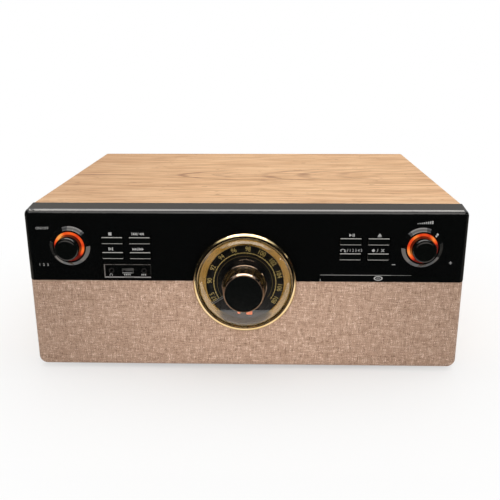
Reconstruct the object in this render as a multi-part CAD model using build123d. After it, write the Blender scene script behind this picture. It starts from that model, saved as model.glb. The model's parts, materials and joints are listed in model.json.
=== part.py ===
from build123d import *
import math
import os

# Stereo music centre. Millimetres, Z up, the front looks towards -Y. The origin lies on the table,
# below the middle of the whole object.

# ---------------------------------------------------------------- cabinet
CABINET_WIDTH = 480.0       # over the two side panels
CABINET_HEIGHT = 185.0      # bottom edge to lid top
BODY_DEPTH = 388.0          # fascia face to cabinet back
FOOT_HEIGHT = 4.0
FOOT_RADIUS = 10.0
FOOT_INSET_X = 45.0         # foot centre from the side of the cabinet
FOOT_INSET_Y = 60.0         # foot centre from the front and the back
SIDE_THICKNESS = 12.0
BASE_THICKNESS = 9.0
REAR_THICKNESS = 6.0
LID_THICKNESS = 12.0
LID_GAP = 0.5               # between fascia and lid
LID_CORNER_RADIUS = 3.5
BUMPER_HEIGHT = 1.0
BUMPER_RADIUS = 4.0
CLEAT = 8.0                 # square ledge inside the side panels, carries the deck
LID_EDGE_RADIUS = 0.8

# ---------------------------------------------------------------- front
FASCIA_WIDTH = 483.0
FASCIA_HEIGHT = 80.7        # from the lid's top down to the cloth
FASCIA_DEPTH = 34.7
FASCIA_WALL = 2.5
FASCIA_EDGE_RADIUS = 7.0
FASCIA_CORNER_RADIUS = 3.5     # bottom corners
FASCIA_FRONT_CORNER = 7.6      # top corners at the face
FASCIA_BACK_CORNER = 0.6       # top corners where the fascia meets the wood
GRILLE_STEP = 0.6           # cloth narrower than the fascia, each side
GRILLE_SETBACK = 1.0
GRILLE_GAP = 0.4            # between cloth and fascia
GRILLE_EDGE_RADIUS = 5.0
GRILLE_CORNER_RADIUS = 9.5
CLOTH_THICKNESS = 0.8
BAFFLE_THICKNESS = 9.0

# ---------------------------------------------------------------- round dial and tuning
BEZEL_RADIUS = 57.0
BEZEL_PROUD = 10.0
BEZEL_BEAD = 4.7            # width of the rounded front bead
BEZEL_WALL = 3.0
SPIGOT_DEPTH = 6.0
DIAL_RADIUS = 42.6
DIAL_THICKNESS = 1.5
DIAL_PROUD = 4.0            # dial face in front of the fascia
DIAL_HOLE_RADIUS = 8.0
REFLECTOR_RISE = 3.5
REFLECTOR_WALL = 1.2
LENS_PROUD = 13.0
LENS_FLAT_RADIUS = 42.0
LENS_THICKNESS = 1.3
LENS_HOLE_RADIUS = 6.0
POINTER_ANGLE = -124.0      # from the top, clockwise seen from the front
POINTER_REACH = 44.0
POINTER_WIDTH = 2.4
POINTER_THICKNESS = 1.0
POINTER_GAP = 1.0           # between dial face and pointer
TUNING_KNOB_RADIUS = 24.5
TUNING_FACE_RADIUS = 22.0
TUNING_CAP_RADIUS = 19.8
KNOB_PROJECTION = 40.0      # tuning knob in front of the fascia
KNOB_LENS_GAP = 1.0
TUNING_SHAFT_RADIUS = 3.0
BUSH_WALL = 3.5
BUSH_END = 8.0              # behind the fascia face
BRACKET_THICKNESS = 2.0
POST_X = 26.0               # bracket posts from the shaft
POST_Z = 14.0
POST_RADIUS = 2.5
BRACKET_MARGIN = 4.0
BRACKET_RISE = 20.0
CAPACITOR_WIDTH = 30.0
CAPACITOR_DEPTH = 14.0
CAPACITOR_BELOW = 12.0
CAPACITOR_ABOVE = 14.0
GEAR_MODULE = 1.0
PINION_TEETH = 22
CAPACITOR_TEETH = 30
GEAR_THICKNESS = 4.0
CAPACITOR_SHAFT_RADIUS = 2.0

# ---------------------------------------------------------------- side knobs
KNOB_X = 192.4
KNOB_RISE = 40.0            # above the fascia's bottom edge
KNOB_RADIUS = 13.5
KNOB_FACE_RADIUS = 12.9
KNOB_PROUD = 15.0
KNOB_SHAFT_RADIUS = 3.0
COLLAR_RADIUS = 22.4           # raised collar round each side knob, at the fascia
COLLAR_TOP_RADIUS = 18.5
COLLAR_PROUD = 3.0
BOSS_DEPTH = 6.0               # boss behind each collar
RING_RADIUS = 16.4
RING_WALL = 2.5
RING_PROUD = 3.5
PUSH_TRAVEL = 0.8
CONTROL_HALF = 6.5              # control body, half its width
CONTROL_FRONT = 8.5             # behind the fascia face
PLUNGER_WALL = 1.5

# ---------------------------------------------------------------- keys and sockets
KEY_WIDTH = 23.4
KEY_HEIGHT = 7.9
KEY_PROUD = 1.2
KEY_TRAVEL = 0.8
KEY_COLUMNS = (115.1, 145.4)    # from the middle, both sides
KEY_ROWS = (46.5, 29.4)         # above the fascia's bottom edge
KEY_LIP = 1.0
PORT_WIDTH = 52.4
PORT_HEIGHT = 15.7
PORT_X = -130.3
PORT_RISE = 11.1
PORT_DEPTH = 1.0
JACK_SPREAD = 18.2
JACK_RADIUS = 3.0
USB_WIDTH = 13.0
USB_HEIGHT = 5.8
BOARD_THICKNESS = 1.6
BOARD_SETBACK = 14.5            # key boards behind the fascia face
SWITCH_HEIGHT = 3.4
SWITCH_HALF = 3.0
ACTUATOR = 0.9                  # switch plunger above its body
ACTUATOR_RADIUS = 1.7
LIP_THICKNESS = 1.2
LIP_GAP = 0.1
KEY_CHAMFER = 0.5
KEY_STEM_RADIUS = 2.0
PEG_RADIUS = 3.0
BOARD_MARGIN = 4.0

# ---------------------------------------------------------------- CD drawer
DRAWER_WIDTH = 130.6
DRAWER_HEIGHT = 8.2
DRAWER_FRONT = 3.0
TRAY_WIDTH = 128.0
TRAY_THICKNESS = 5.0
TRAY_LENGTH = 172.0
DISC_RADIUS = 60.5
DISC_RECESS = 1.8
TRAY_SLOT = 34.0
CHASSIS_WALL = 2.5
CHASSIS_SIDE_GAP = 2.7          # to the cleat
CHASSIS_TOP_GAP = 3.0           # to the deck
TRAY_SIDE_GAP = 3.0             # tray to the chassis wall
DISC_INSET = 5.0                # disc recess behind the drawer front
RAIL_WIDTH = 4.0
CD_MOTOR_RADIUS = 9.0
CD_MOTOR_HEIGHT = 5.0
CD_SHAFT_RADIUS = 1.2
CHASSIS_FRONT = 12.0            # behind the fascia face
CHASSIS_LENGTH = 168.0
CHASSIS_BELOW = 12.5            # under the tray
CD_TABLE_RADIUS = 12.0

# ---------------------------------------------------------------- record deck
DECK_DROP = 45.0                # deck below the lid
DECK_THICKNESS = 3.0
PLATTER_X = -62.0
PLATTER_Y = 203.0               # behind the fascia face
PLATTER_RADIUS = 100.0
PLATTER_THICKNESS = 4.0
PLATTER_LIFT = 10.0             # underside above the deck
RIM_RADIUS = 73.0
RIM_WALL = 3.0
SPINDLE_RADIUS = 3.6
MAT_RADIUS = 98.0
MAT_THICKNESS = 2.0
PULLEY_RADIUS = 5.0
PULLEY_DISTANCE = 90.0
PULLEY_ANGLE = 225.0
BELT_THICKNESS = 0.8
BELT_HEIGHT = 4.0
MOTOR_RADIUS = 14.0
MOTOR_HEIGHT = 24.0
ARM_X = 122.0
ARM_Y = 285.0
ARM_HEIGHT = 32.0               # arm axis above the deck
ARM_RADIUS = 3.5
ARM_LENGTH = 190.0
ARM_BASE_RADIUS = 18.0
ARM_BASE_HEIGHT = 12.0
YOKE_INSIDE = 10.0
YOKE_WALL = 3.0
HEAD_OFFSET = 22.0              # degrees, headshell turned inwards
HEAD_LENGTH = 25.0              # collar to stylus
WEIGHT_RADIUS = 10.0
WEIGHT_LENGTH = 20.0
REST_DISTANCE = 160.0
LIFT_RADIUS = 30.0
CUE_LEVER_LENGTH = 30.0
SELECTOR_INSET = 38.0           # from the side panel
SELECTOR_Y = 110.0
BEARING_RADIUS = 9.0
BEARING_LENGTH = 14.0
SPINDLE_TOP = 27.0
LIFT_PIN = 1.5
GIMBAL_SHAFT = 3.0
PIVOT_PIN = 1.5
SELECTOR_SHAFT = 2.5

# ---------------------------------------------------------------- sound, rear and fasteners
SPEAKER_X = 150.0
SPEAKER_MARGIN = 2.3            # rim to the base panel and to the CD chassis
SPEAKER_RIM = 7.0               # cone to the frame's outer edge
SPEAKER_PLATE = 2.0
SEAT = 3.0                      # cone to the hole's edge
BASKET_WALL = 2.0
BASKET_DEPTH = 22.0
BASKET_BACK_RADIUS = 20.5
MAGNET_RADIUS = 22.0
MAGNET_DEPTH = 14.0
PAPER = 1.2
DUST_CAP_RADIUS = 9.0
CONE_DEPTH = 11.5
REAR_PROJECTION = 8.0           # sockets behind the cabinet
REAR_SOCKET_RISE = 50.0
SOCKET_DEPTH = 16.0             # socket bodies inside the cabinet
FLANGE = 2.0
INLET_INSET = 48.0              # from the side panel
INLET_BODY = (24.0, 14.0)
ROCKER_SPACING = 40.0           # from the inlet
ROCKER_BODY = (13.6, 18.6)
ROCKER_HALF = (5.0, 7.2)
ROCKER_TILT = 7.0
AERIAL_X = 20.0
AERIAL_RADIUS = 6.0
LINE_X = 70.0
LINE_SPREAD = 20.0
LINE_BODY = (34.0, 12.0)
VENT_X = 140.0
VENT_WIDTH = 60.0
VENT_HEIGHT = 3.0
VENT_RISE = 30.0                # above the sockets
VENT_COUNT = 6
VENT_PITCH = 8.0
HINGE_X = 150.0
HINGE_WIDTH = 40.0
HINGE_LEAF = 1.5
HINGE_BARREL = 3.0
HINGE_PIN = 1.2
KNUCKLE_GAP = 0.2
LEAF_HEIGHT = 10.0
SCREW_RADIUS = 1.75
SCREW_LENGTH = 10.0
SCREW_HEAD_RADIUS = 3.8
SCREW_HEAD_HEIGHT = 1.6

# ---------------------------------------------------------------- boards in the cabinet
BOARD_LIFT = 8.0                # above the base panel
BOARD_INSET = 13.0              # from the side panel
BOARD_GAP = 25.0                # between the two boards
BOARD_FROM_BACK = 120.0
MAIN_BOARD = (185.0, 95.0)
POWER_BOARD = (100.0, 80.0)
STANDOFF_RADIUS = 3.0
STANDOFF_INSET = 6.0
CHIP = (28.0, 19.6, 3.0)
HEATSINK = (40.0, 28.0, 22.0)
DECODER = (20.0, 14.0, 2.5)
TRANSFORMER = (40.0, 28.0, 30.0)
LARGE_CAPACITOR = (9.0, 28.0)   # radius, height
CAPACITOR = (8.0, 20.0)
SMALL_CAPACITOR = (6.0, 16.0)

# ---------------------------------------------------------------- clearances
RUNNING_FIT = 0.05              # shaft in bush, radial
CLEAR = 0.3                     # between moving neighbours
KEY_CLEAR = 0.25

# ---------------------------------------------------------------- levels and lines worked out
front = -(BODY_DEPTH + REAR_PROJECTION - KNOB_PROJECTION) / 2
wood_front = front + FASCIA_DEPTH
back = front + BODY_DEPTH
cabinet_bottom = FOOT_HEIGHT
cabinet_top = cabinet_bottom + CABINET_HEIGHT
base_top = cabinet_bottom + BASE_THICKNESS
fascia_bottom = cabinet_top - FASCIA_HEIGHT
lid_under = cabinet_top - LID_THICKNESS
panel_top = lid_under - BUMPER_HEIGHT
deck_top = lid_under - DECK_DROP
deck_under = deck_top - DECK_THICKNESS
inner_side = CABINET_WIDTH / 2 - SIDE_THICKNESS
rear_inside = back - REAR_THICKNESS
knob_z = fascia_bottom + KNOB_RISE
port_z = fascia_bottom + PORT_RISE
board_front = front + BOARD_SETBACK
drawer_z = fascia_bottom + (DRAWER_HEIGHT + GRILLE_GAP) / 2
tray_bottom = drawer_z - TRAY_THICKNESS / 2
tray_top = tray_bottom + TRAY_THICKNESS
spindle_y = front + DRAWER_FRONT + DISC_INSET + DISC_RADIUS
chassis_low = tray_bottom - CHASSIS_BELOW
chassis_high = deck_under - CHASSIS_TOP_GAP
chassis_half = TRAY_WIDTH / 2 + TRAY_SIDE_GAP + CHASSIS_WALL
drawer_x = inner_side - CLEAT - CHASSIS_SIDE_GAP - chassis_half
chassis_y = (front + CHASSIS_FRONT, front + CHASSIS_FRONT + CHASSIS_LENGTH)
speaker_z = (base_top + chassis_low) / 2
speaker_radius = (chassis_low - base_top) / 2 - SPEAKER_MARGIN
cone_radius = speaker_radius - SPEAKER_RIM
platter_at = (PLATTER_X, front + PLATTER_Y)
arm_at = (ARM_X, front + ARM_Y)
arm_z = deck_top + ARM_HEIGHT
selector_x = inner_side - SELECTOR_INSET
socket_z = cabinet_bottom + REAR_SOCKET_RISE
inlet_x = -inner_side + INLET_INSET
rocker_x = inlet_x + ROCKER_SPACING

parts = {}


# ---------------------------------------------------------------- helpers
def block(x, y, z):
    """A box from the first to the second value on each axis."""
    centre = Pos((x[0] + x[1]) / 2, (y[0] + y[1]) / 2, (z[0] + z[1]) / 2)
    return centre * Box(x[1] - x[0], y[1] - y[0], z[1] - z[0])


def rod(radius, start, end):
    """A cylinder between two points."""
    run = Vector(*end) - Vector(*start)
    place = Plane(origin=start, z_dir=run)
    return place * Cylinder(radius, run.length, align=(Align.CENTER, Align.CENTER, Align.MIN))


def turned_front(profile, x, z):
    """A turned piece on a front-to-back axis; its profile gives (radius, depth behind the face)."""
    face = make_face(Polyline(*profile, close=True))
    return Pos(x, front, z) * revolve(face, Axis.Y)


def turned_up(profile, x, y):
    """A turned piece on an upright axis; its profile gives (radius, height)."""
    face = make_face(Polyline(*[(radius, 0, height) for radius, height in profile], close=True))
    return Pos(x, y, 0) * revolve(face, Axis.Z)


def bore_front(radius, x, z, start, end):
    """A front-to-back cylinder between two depths behind the fascia face."""
    return rod(radius, (x, front + start, z), (x, front + end, z))


def front_plane(x, depth, z):
    """A plane parallel to the fascia, whose extrusions run backwards."""
    return Plane(origin=(x, front + depth, z), x_dir=(1, 0, 0), z_dir=(0, 1, 0))


def front_box(half_width, y0, z0, z1, edge, corner):
    """The lower front's outer form: rounded bottom corners and a rounded front edge."""
    box = block((-half_width, half_width), (y0, wood_front), (z0, z1))
    box = fillet(box.edges().filter_by(Axis.Y).sort_by(Axis.Z)[:2], corner)
    rim = box.faces().sort_by(Axis.Y)[0].edges().sort_by(Axis.Z)[:-1]
    return fillet(rim, edge)


def screw(point, inward):
    """A pan-head screw: its head rests on the point, its shank runs inward."""
    start = Vector(*point)
    along = Vector(*inward)
    crown = start - along * SCREW_HEAD_HEIGHT
    head = rod(SCREW_HEAD_RADIUS, crown, start)
    shank = rod(SCREW_RADIUS, start, start + along * SCREW_LENGTH)
    slot = rod(SCREW_RADIUS, crown, crown + along * SCREW_HEAD_HEIGHT / 2)
    return head + shank - slot


def screw_hole(point, inward):
    """The hole that a screw's shank fills."""
    start = Vector(*point)
    return rod(SCREW_RADIUS, start, start + Vector(*inward) * SCREW_LENGTH)


def group(solids):
    """Separate solids kept together in one node."""
    return Compound(children=[solid for solid in solids])


# ---------------------------------------------------------------- screw places
foot_places = [(x, y) for x in (-CABINET_WIDTH / 2 + FOOT_INSET_X, CABINET_WIDTH / 2 - FOOT_INSET_X)
               for y in (front + FOOT_INSET_Y, back - FOOT_INSET_Y)]
foot_seat = SCREW_HEAD_HEIGHT + 0.6
foot_screws = [((x, y, foot_seat), (0, 0, 1)) for x, y in foot_places]
rear_screws = [((x, back, cabinet_bottom + BASE_THICKNESS / 2), (0, -1, 0))
               for x in (-HINGE_X, 0.0, HINGE_X)]
deck_screws = [((x, y, deck_top), (0, 0, -1))
               for x in (-inner_side + CLEAT / 2, inner_side - CLEAT / 2)
               for y in (front + FOOT_INSET_Y, back - FOOT_INSET_Y)]
all_screws = foot_screws + rear_screws + deck_screws


# ---------------------------------------------------------------- cabinet
def side_panel(side):
    """A side panel with the cleat that carries the deck."""
    outer = side * CABINET_WIDTH / 2
    inner = side * inner_side
    panel = block(sorted((inner, outer)), (wood_front, back), (cabinet_bottom, panel_top))
    cleat = block(sorted((inner, inner - side * CLEAT)),
                  (wood_front + CLEAT, rear_inside - CLEAT), (deck_under - CLEAT, deck_under))
    panel = panel + cleat
    for place in deck_screws:
        panel = panel - screw_hole(*place)
    return panel


def base_panel():
    panel = block((-inner_side, inner_side), (wood_front, rear_inside), (cabinet_bottom, base_top))
    for place in foot_screws + rear_screws:
        panel = panel - screw_hole(*place)
    return panel


def rear_panel():
    panel = block((-inner_side, inner_side), (rear_inside, back), (cabinet_bottom, panel_top))
    through = (rear_inside - 1, back + 1)
    for x, body in ((inlet_x, INLET_BODY), (rocker_x, ROCKER_BODY), (LINE_X, LINE_BODY)):
        half_x = body[0] / 2 + CLEAR
        half_z = body[1] / 2 + CLEAR
        panel = panel - block((x - half_x, x + half_x), through, (socket_z - half_z, socket_z + half_z))
    panel = panel - rod(AERIAL_RADIUS + CLEAR, (AERIAL_X, through[0], socket_z), (AERIAL_X, through[1], socket_z))
    for index in range(VENT_COUNT):
        z = socket_z + VENT_RISE + (index - VENT_COUNT / 2) * VENT_PITCH
        panel = panel - block((VENT_X - VENT_WIDTH / 2, VENT_X + VENT_WIDTH / 2), through, (z, z + VENT_HEIGHT))
    for place in rear_screws:
        panel = panel - screw_hole(*place)
    return panel


def lid():
    slab = block((-CABINET_WIDTH / 2, CABINET_WIDTH / 2), (wood_front + LID_GAP, back), (lid_under, cabinet_top))
    corners = slab.edges().filter_by(Axis.Z).sort_by(Axis.Y)[-2:]
    slab = fillet(corners, LID_CORNER_RADIUS)
    return fillet(slab.faces().sort_by(Axis.Z)[-1].edges(), LID_EDGE_RADIUS)


def lid_bumpers():
    x = CABINET_WIDTH / 2 - SIDE_THICKNESS / 2
    places = [(side * x, y) for side in (-1, 1) for y in (wood_front + 20.0, back - 40.0)]
    return group([rod(BUMPER_RADIUS, (x, y, panel_top), (x, y, lid_under)) for x, y in places])


def feet():
    profile = [(SCREW_RADIUS, foot_seat), (SCREW_HEAD_RADIUS + CLEAR, foot_seat), (SCREW_HEAD_RADIUS + CLEAR, 0),
               (FOOT_RADIUS - 1, 0), (FOOT_RADIUS, FOOT_HEIGHT), (SCREW_RADIUS, FOOT_HEIGHT)]
    return group([turned_up(profile, x, y) for x, y in foot_places])


parts["side_panel_left"] = side_panel(-1)
parts["side_panel_right"] = side_panel(1)
parts["base_panel"] = base_panel()
parts["rear_panel"] = rear_panel()
parts["lid"] = lid()
parts["lid_bumpers"] = lid_bumpers()
parts["feet"] = feet()
parts["cabinet_screws"] = group([screw(*place) for place in all_screws])


# ---------------------------------------------------------------- lid hinges
hinge_y = back + HINGE_BARREL + 0.2
hinge_z = lid_under
knuckle_half = HINGE_WIDTH * 0.2


def knuckle(x0, x1, bore):
    barrel = rod(HINGE_BARREL, (x0, hinge_y, hinge_z), (x1, hinge_y, hinge_z))
    return barrel - rod(bore, (x0 - 1, hinge_y, hinge_z), (x1 + 1, hinge_y, hinge_z))


def cabinet_hinge(x):
    """The leaf on the rear panel with its two outer knuckles, and the pin."""
    half = HINGE_WIDTH / 2
    leaf = block((x - half, x + half), (back, back + HINGE_LEAF), (hinge_z - HINGE_BARREL - 2 * LEAF_HEIGHT,
                                                                 hinge_z - HINGE_BARREL))
    solid = leaf
    for x0, x1 in ((x - half, x - knuckle_half - KNUCKLE_GAP), (x + knuckle_half + KNUCKLE_GAP, x + half)):
        neck = block((x0, x1), (back, hinge_y), (hinge_z - HINGE_BARREL, hinge_z))
        neck = neck - rod(HINGE_PIN, (x0 - 1, hinge_y, hinge_z), (x1 + 1, hinge_y, hinge_z))
        solid = solid + neck + knuckle(x0, x1, HINGE_PIN)
    pin = rod(HINGE_PIN, (x - half, hinge_y, hinge_z), (x + half, hinge_y, hinge_z))
    return [solid, pin]


def lid_hinge(x):
    """The leaf on the lid's back edge with its middle knuckle."""
    half = HINGE_WIDTH / 2
    leaf = block((x - half, x + half), (back, back + HINGE_LEAF), (hinge_z + HINGE_BARREL + CLEAR, cabinet_top - 0.8))
    x0 = x - knuckle_half
    x1 = x + knuckle_half
    neck = block((x0, x1), (back, back + HINGE_LEAF), (hinge_z, hinge_z + HINGE_BARREL + CLEAR))
    bore = HINGE_PIN + RUNNING_FIT
    neck = neck - rod(bore, (x0 - 1, hinge_y, hinge_z), (x1 + 1, hinge_y, hinge_z))
    return leaf + neck + knuckle(x0, x1, bore)


parts["cabinet_hinges"] = group(cabinet_hinge(-HINGE_X) + cabinet_hinge(HINGE_X))
parts["lid_hinge_leaves"] = group([lid_hinge(-HINGE_X), lid_hinge(HINGE_X)])


# ---------------------------------------------------------------- dial
spigot_outer = BEZEL_RADIUS - 2.5
spigot_inner = spigot_outer - BEZEL_WALL
dial_opening = spigot_outer + CLEAR
reflector_outer = spigot_inner - 0.2


def dial_bezel():
    """A gold ring with a rounded front bead and a spigot through the front."""
    bead = BEZEL_BEAD / 2
    crown = -(BEZEL_PROUD - bead)
    inner = BEZEL_RADIUS - BEZEL_BEAD
    edge = Polyline((inner, crown), (spigot_inner, crown + 1.6), (spigot_inner, SPIGOT_DEPTH),
                    (spigot_outer, SPIGOT_DEPTH), (spigot_outer, 0), (BEZEL_RADIUS, 0), (BEZEL_RADIUS, crown))
    crest = ThreePointArc((BEZEL_RADIUS, crown), (BEZEL_RADIUS - bead, -BEZEL_PROUD), (inner, crown))
    return Pos(0, front, fascia_bottom) * revolve(make_face(edge.edges() + crest.edges()), Axis.Y)


def dial_reflector():
    """A pan that carries the dial plate, with the sloping reflector round it and a bush for the shaft."""
    floor = -DIAL_PROUD + DIAL_THICKNESS
    cone_in = DIAL_RADIUS + CLEAR
    bore = TUNING_SHAFT_RADIUS + RUNNING_FIT
    profile = [(bore, floor), (cone_in, floor), (cone_in, -DIAL_PROUD),
               (reflector_outer, -DIAL_PROUD - REFLECTOR_RISE), (reflector_outer, SPIGOT_DEPTH),
               (reflector_outer - REFLECTOR_WALL, SPIGOT_DEPTH),
               (reflector_outer - REFLECTOR_WALL, -DIAL_PROUD - REFLECTOR_RISE + 2.5),
               (cone_in + REFLECTOR_WALL, floor + DIAL_THICKNESS), (bush_radius, floor + DIAL_THICKNESS),
               (bush_radius, BUSH_END), (bore, BUSH_END)]
    return turned_front(profile, 0, fascia_bottom)


def dial_plate():
    top = -DIAL_PROUD
    profile = [(DIAL_HOLE_RADIUS, top), (DIAL_RADIUS, top), (DIAL_RADIUS, top + DIAL_THICKNESS),
               (DIAL_HOLE_RADIUS, top + DIAL_THICKNESS)]
    return turned_front(profile, 0, fascia_bottom)


def dial_lens():
    """A clear pan: flat in the middle, a curved shoulder down to the bezel."""
    edge_r = reflector_outer - CLEAR
    drop = LENS_PROUD - DIAL_PROUD - REFLECTOR_RISE - CLEAR
    run = edge_r - LENS_FLAT_RADIUS
    radius = (run * run + drop * drop) / (2 * drop)
    centre_y = -LENS_PROUD + radius
    turn = math.atan2(run, radius - drop)

    def shoulder(arc_radius, angle):
        return (LENS_FLAT_RADIUS + arc_radius * math.sin(angle), centre_y - arc_radius * math.cos(angle))

    inner = radius - LENS_THICKNESS
    outside = ThreePointArc(shoulder(radius, 0), shoulder(radius, turn / 2), shoulder(radius, turn))
    inside = ThreePointArc(shoulder(inner, turn), shoulder(inner, turn / 2), shoulder(inner, 0))
    rim = Line(shoulder(radius, turn), shoulder(inner, turn))
    back_line = Polyline(shoulder(inner, 0), (LENS_HOLE_RADIUS, -LENS_PROUD + LENS_THICKNESS),
                         (LENS_HOLE_RADIUS, -LENS_PROUD), shoulder(radius, 0))
    face = make_face(outside.edges() + rim.edges() + inside.edges() + back_line.edges())
    return Pos(0, front, fascia_bottom) * revolve(face, Axis.Y)


bush_radius = TUNING_SHAFT_RADIUS + BUSH_WALL
gear_front = BUSH_END + 1.0
gear_back = gear_front + GEAR_THICKNESS
bracket_front = gear_back + 3.0
bracket_back = bracket_front + BRACKET_THICKNESS
pinion_radius = GEAR_MODULE * PINION_TEETH / 2
wheel_radius = GEAR_MODULE * CAPACITOR_TEETH / 2
wheel_z = fascia_bottom - pinion_radius - wheel_radius
pointer_back = -DIAL_PROUD - POINTER_GAP
knob_base = -LENS_PROUD - KNOB_LENS_GAP


def dial_pointer():
    """A clear needle with a hub on the shaft."""
    needle = Rot(0, POINTER_ANGLE, 0) * Pos(0, -POINTER_THICKNESS / 2, POINTER_REACH / 2) * Box(
        POINTER_WIDTH, POINTER_THICKNESS, POINTER_REACH)
    needle = Pos(0, front + pointer_back, fascia_bottom) * needle
    hub = bore_front(bush_radius, 0, fascia_bottom, pointer_back - POINTER_THICKNESS, pointer_back)
    return needle + hub - bore_front(TUNING_SHAFT_RADIUS, 0, fascia_bottom, -LENS_PROUD, 0)


def tuning_knob():
    """A hollow knob: stepped skirt, slightly tapered side, rounded face rim."""
    face = -KNOB_PROJECTION
    wall = 2.2
    cap = TUNING_CAP_RADIUS + 0.1
    profile = [(TUNING_SHAFT_RADIUS, face + 2.4), (cap, face + 2.4), (cap, face + 0.6), (cap + 0.6, face),
               (TUNING_FACE_RADIUS - 0.9, face), (TUNING_FACE_RADIUS, face + 0.9),
               (TUNING_FACE_RADIUS + 0.3, face + 5), (TUNING_FACE_RADIUS - 0.2, face + 5.6),
               (TUNING_FACE_RADIUS + 0.9, face + 16), (TUNING_FACE_RADIUS + 0.5, face + 16.6),
               (TUNING_KNOB_RADIUS - 0.6, knob_base - 3.4), (TUNING_KNOB_RADIUS, knob_base - 2.8),
               (TUNING_KNOB_RADIUS, knob_base - 0.5), (TUNING_KNOB_RADIUS - 0.5, knob_base),
               (TUNING_KNOB_RADIUS - wall, knob_base), (TUNING_FACE_RADIUS - wall, face + 5),
               (bush_radius, face + 5), (bush_radius, knob_base - 1), (TUNING_SHAFT_RADIUS, knob_base - 1)]
    return turned_front(profile, 0, fascia_bottom)


def tuning_knob_cap():
    face = -KNOB_PROJECTION
    profile = [(0, face + 0.5), (TUNING_CAP_RADIUS - 0.5, face + 0.5), (TUNING_CAP_RADIUS, face + 1.0),
               (TUNING_CAP_RADIUS, face + 2.4), (0, face + 2.4)]
    return turned_front(profile, 0, fascia_bottom)


def gear_face(teeth, turn):
    """An involute gear outline with a little backlash; turn sets one tooth's angle in degrees."""
    pitch = GEAR_MODULE * teeth / 2
    base = pitch * math.cos(math.radians(20))
    tip = pitch + 0.85 * GEAR_MODULE
    root = pitch - 1.25 * GEAR_MODULE
    half_tooth = math.pi / (2 * teeth) - 0.12 / pitch

    def involute(radius):
        ratio = math.sqrt(max((radius / base) ** 2 - 1, 0))
        return ratio - math.atan(ratio)

    start = max(base, root)
    steps = [start + (tip - start) * index / 4 for index in range(5)]
    flank = [(radius, half_tooth + involute(pitch) - involute(radius)) for radius in steps]
    points = []
    for tooth in range(teeth):
        middle = math.radians(turn) + 2 * math.pi * tooth / teeth
        side = [(root, flank[0][1])] + flank
        for radius, angle in side:
            points.append((radius * math.cos(middle - angle), radius * math.sin(middle - angle)))
        for radius, angle in reversed(side):
            points.append((radius * math.cos(middle + angle), radius * math.sin(middle + angle)))
    return make_face(Polyline(*points, close=True))


def gear(teeth, turn, z):
    """A flat gear on a front-to-back axis."""
    return front_plane(0, gear_front, z) * extrude(gear_face(teeth, turn), GEAR_THICKNESS)


def tuning_shaft():
    """The shaft through the dial, with the pinion behind it."""
    shaft = bore_front(TUNING_SHAFT_RADIUS, 0, fascia_bottom, -KNOB_PROJECTION + 2.4, bracket_back + 2)
    # The middle of a tooth points down, at the wheel.
    return shaft + gear(PINION_TEETH, 90.0, fascia_bottom)


def capacitor_gear():
    """The wheel on the capacitor's shaft; a gap between two teeth points up, at the pinion."""
    shaft = bore_front(CAPACITOR_SHAFT_RADIUS, 0, wheel_z, gear_front, bracket_back + 6)
    return shaft + gear(CAPACITOR_TEETH, -90.0 + 180.0 / CAPACITOR_TEETH, wheel_z)


parts["dial_bezel"] = dial_bezel()
parts["dial_reflector"] = dial_reflector()
parts["dial_plate"] = dial_plate()
parts["dial_lens"] = dial_lens()
parts["dial_pointer"] = dial_pointer()
parts["tuning_knob"] = tuning_knob()
parts["tuning_knob_cap"] = tuning_knob_cap()
parts["tuning_shaft"] = tuning_shaft()
parts["capacitor_gear"] = capacitor_gear()

# ---------------------------------------------------------------- fascia
key_places = [(side * x, fascia_bottom + row) for side in (-1, 1) for x in KEY_COLUMNS for row in KEY_ROWS]
boss_radius = COLLAR_RADIUS + 2.5
board_inner = KEY_COLUMNS[0] - KEY_WIDTH / 2 - 7.4
board_outer = KNOB_X + 20.6
board_top = knob_z + 17.7
board_low_left = port_z - 4.4
board_low_right = knob_z - 15.3
jack_places = [(PORT_X - JACK_SPREAD, port_z), (PORT_X + JACK_SPREAD, port_z)]


def board_pegs(side, low):
    return [(side * x, z) for x in (board_inner, board_outer) for z in (low, board_top)]


def corner_outline(y, radius):
    """The front's outline at that depth, its top corners rounded by the radius."""
    mid_z = (fascia_bottom + cabinet_top) / 2
    outline = Rectangle(FASCIA_WIDTH, cabinet_top - fascia_bottom)
    top = outline.vertices().sort_by(Axis.Y)[-2:]
    return Plane(origin=(0, y, mid_z), x_dir=(1, 0, 0), z_dir=(0, -1, 0)) * fillet(top, radius)


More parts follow.
